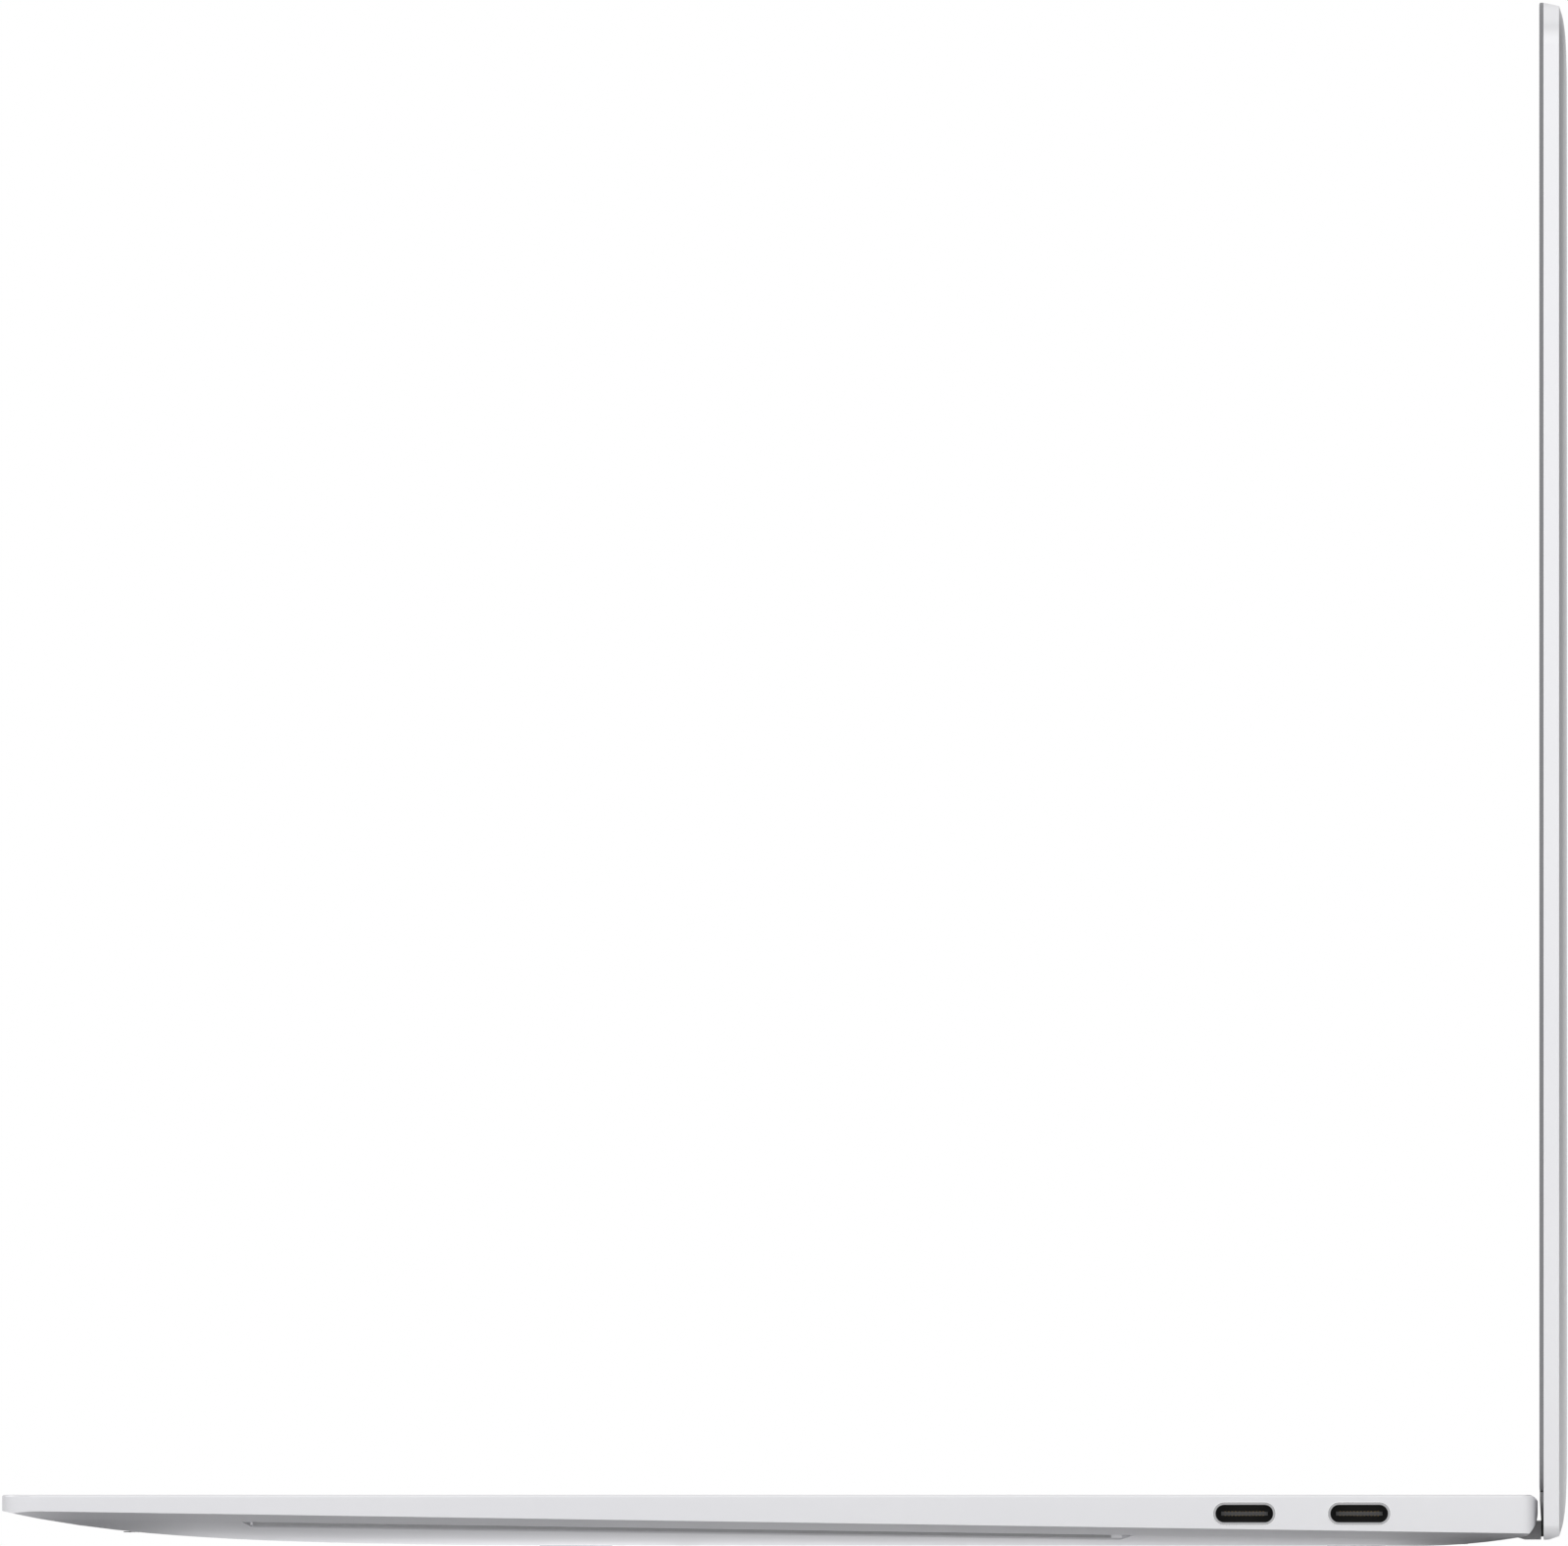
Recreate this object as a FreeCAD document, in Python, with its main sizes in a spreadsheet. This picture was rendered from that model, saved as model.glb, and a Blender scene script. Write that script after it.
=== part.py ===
import FreeCAD, Part
import math
import os
import re
import Sketcher

# A slim laptop computer with its lid standing upright.
#
# Every formula below is written in the bench frame: x from the middle, positive to the right,
# y back from the front edge of the base, z up from the top of the deck.
# SHIFT moves that frame to the part's own, which has its origin on the table, under the middle
# of the whole outline.

SIZES = {
    # base
    "base_width": 310.0,
    "base_depth": 222.1,
    "base_height": 7.37,
    "overall_depth": 226.35,
    "front_corner": 5.5,
    "rear_corner": 2.2,
    "deck_edge": 0.35,
    "deck_skin": 1.0,
    "side_skin": 1.6,
    "floor_skin": 0.8,
    "wall_front": 2.31,
    "wall_slope": 0.01481,
    "parting_drop": 1.1,
    "dish_depth": 5.2,
    "dish_run": 21.5,
    "rear_rise_start": 203.5,
    "rear_rise_rate": 0.0038,
    "recess_front": 34.3,
    "recess_rear": 164.2,
    "recess_depth": 3.6,
    "foot_height": 1.5,
    "foot_width": 8.0,
    "foot_length": 200.0,
    "front_foot_y": 77.0,
    "rear_foot_y": 191.5,
    # hinge
    "hinge_y": 218.95,
    "hinge_z": -3.05,
    "notch_half": 128.0,
    "notch_front": 215.2,
    "notch_wall": 1.5,
    "barrel_radius": 3.0,
    "barrel_half": 127.5,
    "knuckle_inner": 119.0,
    "knuckle_length": 7.6,
    "knuckle_radius": 2.3,
    "pocket_radius": 2.4,
    "pin_radius": 1.5,
    "pin_clearance": 0.05,
    "leaf_top": -4.25,
    "leaf_thickness": 1.0,
    "slot_room": 0.05,
    "web_top": -3.8,
    "web_bottom": -6.49,
    "web_rear": 222.6,
    "bracket_front": 208.5,
    "bracket_rear": 219.0,
    # lid
    "lid_top": 215.85,
    "lid_bottom": -6.49,
    "lid_corner": 6.0,
    "lid_face": 222.95,
    "lid_edge": 225.2,
    "lid_back": 226.35,
    "lid_floor": 225.1,
    "lid_wall": 1.6,
    "bulge_run": 2.8,
    "glass_front": 222.4,
    "glass_half": 154.3,
    "glass_bottom": 0.88,
    "glass_top": 215.57,
    "glass_corner": 5.7,
    "seam": 0.05,
    "panel_half": 151.0,
    "panel_bottom": 8.0,
    "panel_top": 210.4,
    "gasket_thickness": 0.4,
    "gasket_width": 2.0,
    # keyboard
    "key_pitch": 18.4,
    "row_pitch": 18.2,
    "function_pitch": 12.4,
    "key_gap": 2.6,
    "key_height": 1.2,
    "key_drop": 0.12,
    "key_room": 0.4,
    "key_corner": 1.6,
    "key_edge": 0.25,
    "keyboard_front": 103.2,
    "keyboard_units": 15.0,
    "keyboard_rows": 5.0,
    "frame_margin": 0.8,
    "frame_thickness": 0.8,
    "plate_top": -2.45,
    "plate_thickness": 0.3,
    # touchpad
    "touchpad_width": 125.0,
    "touchpad_depth": 82.0,
    "touchpad_front": 12.0,
    "touchpad_thickness": 0.9,
    "touchpad_drop": 0.05,
    "touchpad_room": 0.3,
    "touchpad_corner": 3.0,
    # speakers, ports, power and cooling
    "grille_width": 8.0,
    "grille_inner": 142.5,
    "port_front_y": 179.7,
    "port_rear_y": 196.3,
    "port_z": -2.72,
    "port_width": 8.94,
    "port_height": 3.16,
    "port_length": 7.3,
    "port_metal": 0.3,
    "port_room": 0.05,
    "tongue_width": 6.69,
    "tongue_thickness": 0.55,
    "tongue_length": 5.0,
    "battery_front": 33.0,
    "battery_depth": 65.0,
    "cell_width": 58.0,
    "cell_pitch": 60.0,
    "cell_thickness": 2.4,
    "battery_top": -2.6,
    "board_top": -3.4,
    "board_thickness": 0.8,
    "board_half": 66.0,
    "chip_height": 0.8,
    "plate_height": 0.5,
    "pipe_height": 0.7,
    "fan_x": 94.0,
    "fan_y": 179.0,
    "fan_side": 45.0,
    "fan_top": -2.95,
    "fan_height": 3.45,
    "fan_wall": 0.3,
    "fan_cavity": 21.4,
    "fan_inlet": 14.0,
    "fan_shaft": 1.0,
    "rotor_radius": 20.4,
    "rotor_hub": 8.0,
    "rotor_height": 2.5,
    "fin_thickness": 0.25,
    "fin_pitch": 1.5,
    # fasteners
    "screw_radius": 1.0,
    "screw_head": 2.0,
    "boss_radius": 2.2,
    "small_screw": 0.8,
    "small_head": 1.5,
}

SHIFT = {"x": "", "y": " - overall_depth / 2", "z": " + base_height + foot_height"}
SIDES = {"left": -1, "right": 1}
BOTTOM_SCREWS = ((130, 20), (75, 20), (128, 99), (123, 210))

# Runs of equal keys: sub-part, row from the front, first column, key width in columns,
# number of keys, and which part of the row's depth they take.
KEY_RUNS = (
    ("key_escape", 5, 0.0, 1.0, 1, "whole"),
    ("function_keys", 5, 1.0, 1.0, 13, "whole"),
    ("power_button", 5, 14.0, 1.0, 1, "whole"),
    ("number_keys", 4, 0.0, 1.0, 13, "whole"),
    ("key_backspace", 4, 13.0, 2.0, 1, "whole"),
    ("key_tab", 3, 0.0, 1.5, 1, "whole"),
    ("upper_letter_keys", 3, 1.5, 1.0, 12, "whole"),
    ("upper_letter_keys", 3, 13.5, 1.5, 1, "whole"),
    ("key_caps_lock", 2, 0.0, 1.75, 1, "whole"),
    ("home_letter_keys", 2, 1.75, 1.0, 11, "whole"),
    ("key_enter", 2, 12.75, 2.25, 1, "whole"),
    ("key_left_shift", 1, 0.0, 2.25, 1, "whole"),
    ("lower_letter_keys", 1, 2.25, 1.0, 10, "whole"),
    ("key_right_shift", 1, 12.25, 2.75, 1, "whole"),
    ("modifier_keys", 0, 0.0, 1.25, 1, "whole"),
    ("modifier_keys", 0, 1.25, 1.0, 2, "whole"),
    ("modifier_keys", 0, 3.25, 1.25, 1, "whole"),
    ("modifier_keys", 0, 10.0, 1.0, 2, "whole"),
    ("key_space", 0, 4.5, 5.5, 1, "whole"),
    ("arrow_keys", 0, 12.0, 1.0, 1, "front"),
    ("arrow_keys", 0, 13.0, 1.0, 1, "front"),
    ("arrow_keys", 0, 13.0, 1.0, 1, "back"),
    ("arrow_keys", 0, 14.0, 1.0, 1, "front"),
)

# Chips on the underside of the board: low x, low y, width and depth.
CHIPS = (
    (-16, 144, 32, 24),
    (-20, 122, 12, 10),
    (2, 122, 12, 10),
    (-48, 150, 14, 14),
    (34, 146, 12, 16),
    (34, 170, 10, 10),
    (-40, 172, 16, 8),
    (10, 184, 20, 6),
)

doc = FreeCAD.newDocument("Laptop")
sheet = doc.addObject("Spreadsheet::Sheet", "Sizes")
nodes = []


def fill_sheet():
    for number, (alias, value) in enumerate(SIZES.items(), start=1):
        sheet.set(f"A{number}", alias)
        sheet.set(f"B{number}", str(value))
        sheet.setAlias(f"B{number}", alias)
    doc.recompute()


def size(alias):
    return float(sheet.get(alias))


def formula(text):
    """The same formula with every sheet name written the way an expression needs it."""
    return re.sub(r"[a-z]\w*", lambda word: "Sizes." + word.group(), str(text))


def bind(piece, bindings):
    for name, text in bindings.items():
        piece.setExpression(name, formula(text))


def bind_place(piece, corner, shifted):
    for axis, text in zip("xyz", corner):
        shift = SHIFT[axis] if shifted else ""
        piece.setExpression("Placement.Base." + axis, formula(f"{text}{shift}"))


def vector(x, y, z):
    return FreeCAD.Vector(x, y, z)


# Part primitives and booleans


def box(name, corner, extent):
    """A box from its low corner and its extent along x, y and z."""
    piece = doc.addObject("Part::Box", name)
    bind(piece, {"Length": extent[0], "Width": extent[1], "Height": extent[2]})
    bind_place(piece, corner, shifted=True)
    return piece


def rod(name, axis, start, radius, length):
    """A cylinder that runs from start along the positive x, y or z direction."""
    turns = {"x": (vector(0, 1, 0), 90), "y": (vector(1, 0, 0), -90), "z": (vector(0, 0, 1), 0)}
    piece = doc.addObject("Part::Cylinder", name)
    piece.Placement.Rotation = FreeCAD.Rotation(*turns[axis])
    bind(piece, {"Radius": radius, "Height": length})
    bind_place(piece, start, shifted=True)
    return piece


def gather(name, pieces):
    piece = doc.addObject("Part::Compound", name)
    piece.Links = pieces
    return piece


def fuse(name, pieces):
    piece = doc.addObject("Part::MultiFuse", name)
    piece.Shapes = pieces
    return piece


def cut(name, base, tools):
    """The base with every tool taken away."""
    piece = doc.addObject("Part::Cut", name)
    piece.Base = base
    piece.Tool = tools[0] if len(tools) == 1 else gather(name + "_tools", tools)
    return piece


def common(name, first, second):
    piece = doc.addObject("Part::Common", name)
    piece.Base = first
    piece.Tool = second
    return piece


def round_box(name, corner, extent, axis, radius):
    """A box whose four edges along one axis are rounded."""
    block = box(name + "_block", corner, extent)
    doc.recompute()
    piece = doc.addObject("Part::Fillet", name)
    piece.Base = block
    edges = edge_numbers(block.Shape, axis)
    piece.Edges = [(number, radius, radius) for number in edges]
    return piece


def edge_numbers(shape, axis):
    """The numbers of the straight edges along one axis."""
    found = []
    for number, edge in enumerate(shape.Edges, start=1):
        along = edge.tangentAt(edge.FirstParameter)
        if abs(getattr(along, axis)) > 0.999 and len(edge.Vertexes) == 2:
            found.append(number)
    return found


def solid_feature(name, shape):
    piece = doc.addObject("Part::Feature", name)
    piece.Shape = shape
    bind_place(piece, (0, 0, 0), shifted=True)
    return piece


# PartDesign bodies


def new_body(name):
    body = doc.addObject("PartDesign::Body", name)
    body.AllowCompound = True
    bind_place(body, (0, 0, 0), shifted=True)
    return body


def origin_feature(body, role):
    return next(item for item in body.Origin.OriginFeatures if item.Role == role)


def add_box(body, kind, corner, extent):
    """An additive or subtractive box of a body."""
    feature = body.newObject(f"PartDesign::{kind}Box", f"{body.Name}_{kind}Box")
    bind(feature, {"Length": extent[0], "Width": extent[1], "Height": extent[2]})
    bind_place(feature, corner, shifted=False)
    doc.recompute()
    return feature


def add_cylinder(body, kind, centre, radius, height):
    """An additive or subtractive upright cylinder of a body, from its low end."""
    feature = body.newObject(f"PartDesign::{kind}Cylinder", f"{body.Name}_{kind}Cylinder")
    bind(feature, {"Radius": radius, "Height": height})
    bind_place(feature, centre, shifted=False)
    doc.recompute()
    return feature


def add_fillet(body, numbers, radius):
    base = body.Tip
    feature = body.newObject("PartDesign::Fillet", body.Name + "_Fillet")
    feature.Base = (base, [f"Edge{number}" for number in numbers])
    bind(feature, {"Radius": radius})
    doc.recompute()
    return feature


def repeat(body, role, spacing, count):
    """The whole body again and again along one of its origin axes."""
    pattern = body.newObject("PartDesign::LinearPattern", body.Name + "_Pattern")
    pattern.TransformMode = "Whole shape"
    pattern.Direction = (origin_feature(body, role), [""])
    pattern.Mode = "Spacing"
    bind(pattern, {"Offset": spacing, "Occurrences": count})
    body.Tip = pattern
    doc.recompute()
    return pattern


def rounded_body(name, corner, extent, axis, radius):
    """A body of one box whose four edges along one axis are rounded."""
    body = new_body(name)
    block = add_box(body, "Additive", corner, extent)
    add_fillet(body, edge_numbers(block.Shape, axis), radius)
    return body


def prism(name, points, start, length):
    """A body of one outline, given in y and z, drawn out along x from start."""
    body = new_body(name)
    sketch = body.newObject("Sketcher::SketchObject", name + "_outline")
    sketch.AttachmentSupport = (origin_feature(body, "YZ_Plane"), [""])
    sketch.MapMode = "FlatFace"
    sketch.setExpression("AttachmentOffset.Base.z", formula(start))
    count = len(points)
    for number in range(count):
        after = (number + 1) % count
        first = vector(number, number**2, 0)
        second = vector(after, after**2, 0)
        sketch.addGeometry(Part.LineSegment(first, second))
    for number in range(count):
        after = (number + 1) % count
        sketch.addConstraint(Sketcher.Constraint("Coincident", number, 2, after, 1))
    for number, point in enumerate(points):
        for kind, text in zip(("DistanceX", "DistanceY"), point):
            index = sketch.addConstraint(Sketcher.Constraint(kind, number, 1, 1.0))
            sketch.setExpression(f"Constraints[{index}]", formula(text))
    doc.recompute()
    pad = body.newObject("PartDesign::Pad", name + "_pad")
    pad.Profile = sketch
    bind(pad, {"Length": length})
    doc.recompute()
    return body


def sub_part(piece, label):
    piece.Label = label
    nodes.append(piece)


# Free-form blocks of the base and the lid


def easing(depth, run, reach):
    """How far a surface has fallen at distances up to reach, steep first and then level."""
    steps = (0.0, 0.06, 0.14, 0.25, 0.42, 0.65, 1.0)
    distances = [reach * step for step in steps]
    return [(distance, depth * (1 - math.exp(-distance / run))) for distance in distances]


def spline_edge(points):
    curve = Part.BSplineCurve()
    curve.interpolate(points)
    return curve.toShape()


def line_edge(first, second):
    return Part.LineSegment(first, second).toShape()


def arc_edge(first, middle, last):
    return Part.Arc(first, middle, last).toShape()


def extruded(edges, direction):
    return Part.Face(Part.Wire(edges)).extrude(direction)


def rounded_outline(corners, radii, to_point):
    """Edges of a right-angled outline with rounded corners, all in one plane."""
    ends = []
    count = len(corners)
    for number, (corner, radius) in enumerate(zip(corners, radii)):
        before = corners[number - 1]
        after = corners[(number + 1) % count]
        ends.append([step_towards(corner, before, radius), step_towards(corner, after, radius)])
    edges = []
    for number, (corner, radius) in enumerate(zip(corners, radii)):
        enter, leave = ends[number]
        centre = [enter[0] + leave[0] - corner[0], enter[1] + leave[1] - corner[1]]
        away = [(corner[axis] - centre[axis]) / math.sqrt(2) for axis in (0, 1)]
        middle = [centre[0] + away[0], centre[1] + away[1]]
        edges.append(arc_edge(to_point(*enter), to_point(*middle), to_point(*leave)))
        edges.append(line_edge(to_point(*leave), to_point(*ends[(number + 1) % count][0])))
    return edges


def step_towards(start, goal, distance):
    span = math.dist(start, goal)
    return [start[axis] + (goal[axis] - start[axis]) * distance / span for axis in (0, 1)]


def base_plan(inset):
    """The outline of the base seen from above, as a tall block with a softened top edge."""
    half = size("base_width") / 2 - inset
    back = size("base_depth") - inset
    front_corner = size("front_corner") - inset
    rear_corner = size("rear_corner") - inset
    corners = [[-half, inset], [half, inset], [half, back], [-half, back]]
    radii = [front_corner, front_corner, rear_corner, rear_corner]
    depth = 12.0
    edges = rounded_outline(corners, radii, lambda x, y: vector(x, y, -depth))
    block = extruded(edges, vector(0, 0, depth))
    rim = [edge for edge in block.Edges if all(abs(point.Z) < 1e-6 for point in edge.Vertexes)]
    return block.makeFillet(size("deck_edge"), rim)


def base_side(lift, top):
    """The outline of the base seen from its side, drawn out across its width."""
    reach = 70.0
    half = size("base_width") / 2
    back = size("base_depth")
    front = -size("wall_front") + lift
    level = -size("base_height") + lift
    dish = [vector(-half, run, front - fall)
            for run, fall in easing(size("dish_depth"), size("dish_run"), reach)]
    dish[-1].z = level
    rise_start = vector(-half, size("rear_rise_start"), level)
    rise_middle = vector(-half, back - 8.6, level + 0.43)
    rise_end = vector(-half, back - 1.5, level + 1.42)
    foot = vector(-half, back - 1.0, level + 2.0)
    heel = vector(-half, back - 0.3, level + 3.2)
    wall_low = vector(-half, back, level + 4.75)
    wall_high = vector(-half, back, -0.95 + top)
    shoulder = vector(-half, back - 0.55, -0.3 + top)
    deck_back = vector(-half, back - 2.0, top)
    deck_front = vector(-half, 0, top)
    edges = [
        line_edge(deck_front, dish[0]),
        spline_edge(dish),
        line_edge(dish[-1], rise_start),
        arc_edge(rise_start, rise_middle, rise_end),
        line_edge(rise_end, foot),
        arc_edge(foot, heel, wall_low),
        line_edge(wall_low, wall_high),
        arc_edge(wall_high, shoulder, deck_back),
        line_edge(deck_back, deck_front),
    ]
    return extruded(edges, vector(2 * half, 0, 0))


def base_cross(lift):
    """The outline of the base seen from the front, drawn back along its sloping lower edge."""
    reach = 90.0
    half = size("base_width") / 2
    start = -5.0
    length = 240.0
    slope = size("wall_slope")
    edge = -size("wall_front") + lift - slope * start
    fall = easing(size("dish_depth"), size("dish_run"), reach)
    right = [vector(half - run, start, edge - drop) for run, drop in fall]
    left = [vector(-half + run, start, edge - drop) for run, drop in reversed(fall)]
    high = 6.0
    edges = [
        line_edge(vector(half, start, high), right[0]),
        spline_edge(right),
        line_edge(right[-1], left[0]),
        spline_edge(left),
        line_edge(left[-1], vector(-half, start, high)),
        line_edge(vector(-half, start, high), vector(half, start, high)),
    ]
    return extruded(edges, vector(0, length, -length * slope))


def base_block(inset, lift, top):
    return base_plan(inset).common(base_side(lift, top)).common(base_cross(lift))


def underside(x, y):
    """The height of the outer surface of the base under a point of the deck."""
    def fall(run):
        return size("dish_depth") * (1 - math.exp(-run / size("dish_run")))
    front = -size("wall_front") - fall(y)
    side = -size("wall_front") - size("wall_slope") * y - fall(size("base_width") / 2 - abs(x))
    past = max(0.0, y - size("rear_rise_start"))
    rear = -size("base_height") + size("rear_rise_rate") * past ** 2
    return max(front, side, rear)


def lid_block():
    """The outer block of the lid: a rounded plate whose back bulges softly."""
    half = size("base_width") / 2
    face = size("lid_face")
    edge = size("lid_edge")
    low = size("lid_bottom")
    high = size("lid_top")
    bulge = size("lid_back") - edge
    corners = [[-half, low], [half, low], [half, high], [-half, high]]
    radii = [2.0, 2.0, size("lid_corner"), size("lid_corner")]
    plate = extruded(rounded_outline(corners, radii, lambda x, z: vector(x, face, z)),
                     vector(0, bulge + edge - face, 0))
    fall = easing(bulge, size("bulge_run"), 7 * size("bulge_run"))
    chamfer = 0.5
    top_curve = [vector(-half, edge + rise, high - chamfer - run) for run, rise in fall]
    low_curve = [vector(-half, edge + rise, low + chamfer + run) for run, rise in reversed(fall)]
    side = extruded([
        line_edge(vector(-half, face, high), top_curve[0]),
        spline_edge(top_curve),
        line_edge(top_curve[-1], low_curve[0]),
        spline_edge(low_curve),
        line_edge(low_curve[-1], vector(-half, edge - 1.5, low)),
        line_edge(vector(-half, edge - 1.5, low), vector(-half, face, low)),
        line_edge(vector(-half, face, low), vector(-half, face, high)),
    ], vector(2 * half, 0, 0))
    # The sideways curve ends a touch further out, so the two flats never share one plane.
    apart = 0.03
    fall = easing(bulge + apart, size("bulge_run"), 7 * size("bulge_run"))
    right_curve = [vector(half - run, edge + rise, low) for run, rise in fall]
    left_curve = [vector(-half + run, edge + rise, low) for run, rise in reversed(fall)]
    across = extruded([
        line_edge(vector(half, face, low), right_curve[0]),
        spline_edge(right_curve),
        line_edge(right_curve[-1], left_curve[0]),
        spline_edge(left_curve),
        line_edge(left_curve[-1], vector(-half, face, low)),
        line_edge(vector(-half, face, low), vector(half, face, low)),
    ], vector(0, 0, high - low))
    block = plate.common(side).common(across)
    for direction in SIDES.values():
        block = block.cut(corner_surplus(direction, bulge + 2 * apart))
    return block


def corner_surplus(side, bulge):
    """What stands above the soft edge where it turns round one top corner of the lid."""
    radius = size("lid_corner")
    edge = size("lid_edge")
    middle_x = side * (size("base_width") / 2 - radius)
    middle_z = size("lid_top") - radius
    above = edge + bulge + 1.0
    curve = [vector(middle_x + side * (radius - run), edge + rise, middle_z)
             for run, rise in easing(bulge, size("bulge_run"), radius)]
    outer = vector(middle_x + side * (radius + 1.0), edge - 0.3, middle_z)
    outer_above = vector(outer.x, above, middle_z)
    inner_above = vector(middle_x, above, middle_z)
    face = Part.Face(Part.Wire([
        spline_edge(curve),
        line_edge(curve[-1], inner_above),
        line_edge(inner_above, outer_above),
        line_edge(outer_above, outer),
        line_edge(outer, curve[0]),
    ]))
    return face.revolve(vector(middle_x, 0, middle_z), vector(0, 1, 0), -90 * side)


# Shared tools


def along_side(side, inner, length):
    """The low x of a stretch that starts at inner and runs outwards on one side."""
    return inner if side > 0 else f"-({inner}) - ({length})"


def key_place(row, column, width, span):
    """Low corner and extent, in x and y, of a key in its place in the rows."""
    depth = "function_pitch" if row == SIZES["keyboard_rows"] else "row_pitch"
    low = f"keyboard_front + {row} * row_pitch + key_gap / 2"
    left = f"{column} * key_pitch - keyboard_units * key_pitch / 2 + key_gap / 2"
    deep = f"{depth} - key_gap"
    half = "(row_pitch - key_gap) / 2 - 0.4"
    if span != "whole":
        deep = half
    if span == "back":
        low = f"{low} + {half} + 0.8"
    return (left, low), (f"{width} * key_pitch - key_gap", deep)


def key_openings():
    """One rounded block for every key, a little larger than the key."""
    room = size("key_room")
    high = 2.0
    blocks = []
    for _, row, column, width, count, span in KEY_RUNS:
        function_row = row == size("keyboard_rows")
        depth = size("function_pitch") if function_row else size("row_pitch")
        gap = size("key_gap")
        low = size("keyboard_front") + row * size("row_pitch") + gap / 2
        deep = depth - gap
        if span != "whole":
            deep = (size("row_pitch") - gap) / 2 - 0.4
        if span == "back":
            low += deep + 0.8
        wide = width * size("key_pitch") - gap
        for number in range(count):
            place = column + number - size("keyboard_units") / 2
            left = place * size("key_pitch") + gap / 2
            corner = vector(left - room, low - room, -high / 2)
            block = Part.makeBox(wide + 2 * room, deep + 2 * room, high, corner)
            edges = [block.Edges[index - 1] for index in edge_numbers(block, "z")]
            blocks.append(block.makeFillet(size("key_corner"), edges))
    return solid_feature("key_openings", Part.makeCompound(blocks))


def port_holes():
    """Rounded holes through both side walls for the four ports."""
    holes = []
    radius = 0.49 * size("port_height")
    for side_name, side in SIDES.items():
        for place in ("front", "rear"):
            corner = (along_side(side, "base_width / 2 - port_length", "port_length + 1"),
                      f"port_{place}_y - port_width / 2 - port_room",
                      "port_z - port_height / 2 - port_room")
            extent = ("port_length + 1", "port_width + 2 * port_room",
                      "port_height + 2 * port_room")
            holes.append(round_box(f"port_hole_{side_name}_{place}", corner, extent, "x", radius))
    return holes


def screw_seats():
    """Places of the screws under the base: x, y and the height of the surface there."""
    return [(side * x, y, underside(x, y)) for x, y in BOTTOM_SCREWS for side in (-1, 1)]


def recess_tool(side):
    """The long side recess: a step under the parting line with slanting ends."""
    half = size("base_width") / 2
    slope = size("wall_slope")
    front = size("recess_front")
    rear = size("recess_rear")
    outer = half - 4.0
    inner = half - 5.0 - size("recess_depth")
    deep = inner - 2.4
    top = -size("wall_front") - size("parting_drop")
    outline = [(outer, 0.0), (inner, 0.0), (inner, -0.42), (deep, -1.6), (outer, -1.6)]
    points = [vector(side * x, front, top - slope * front + z) for x, z in outline]
    length = rear - front
    profile = Part.Face(Part.makePolygon(points + points[:1]))
    channel = profile.extrude(vector(0, length, -slope * length))
    plan = [(outer, front), (inner, front + 1.6), (deep, front + 3.0),
            (deep, rear - 3.4), (outer, rear)]
    corners = [vector(side * x, y, -12) for x, y in plan]
    limits = Part.Face(Part.makePolygon(corners + corners[:1])).extrude(vector(0, 0, 12))
    return channel.common(limits)


# The sub-parts


def make_base_shells():
    half_slope = "wall_front + parting_drop"
    below = prism("below_parting", (
        ("-10", f"-({half_slope}) + 10 * wall_slope"),
        ("240", f"-({half_slope}) - 240 * wall_slope"),
        ("240", "-30"),
        ("-10", "-30"),
    ), "-base_width", "2 * base_width")
    outer = solid_feature("base_outer", base_block(0.0, 0.0, 0.0))
    hollow = solid_feature("base_hollow", base_block(size("side_skin"), size("floor_skin"),
                                                     -size("deck_skin")))
    keep = box("notch_walls", ("-notch_half - notch_wall", "notch_front - notch_wall", "-20"),
               ("2 * (notch_half + notch_wall)", "30", "30"))
    inside = cut("base_inside", hollow, [keep])
    notch = box("notch", ("-notch_half", "notch_front", "-20"), ("2 * notch_half", "30", "30"))
    make_top_case(outer, below, inside, notch)
    make_bottom_cover(outer, below, inside, notch)


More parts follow.
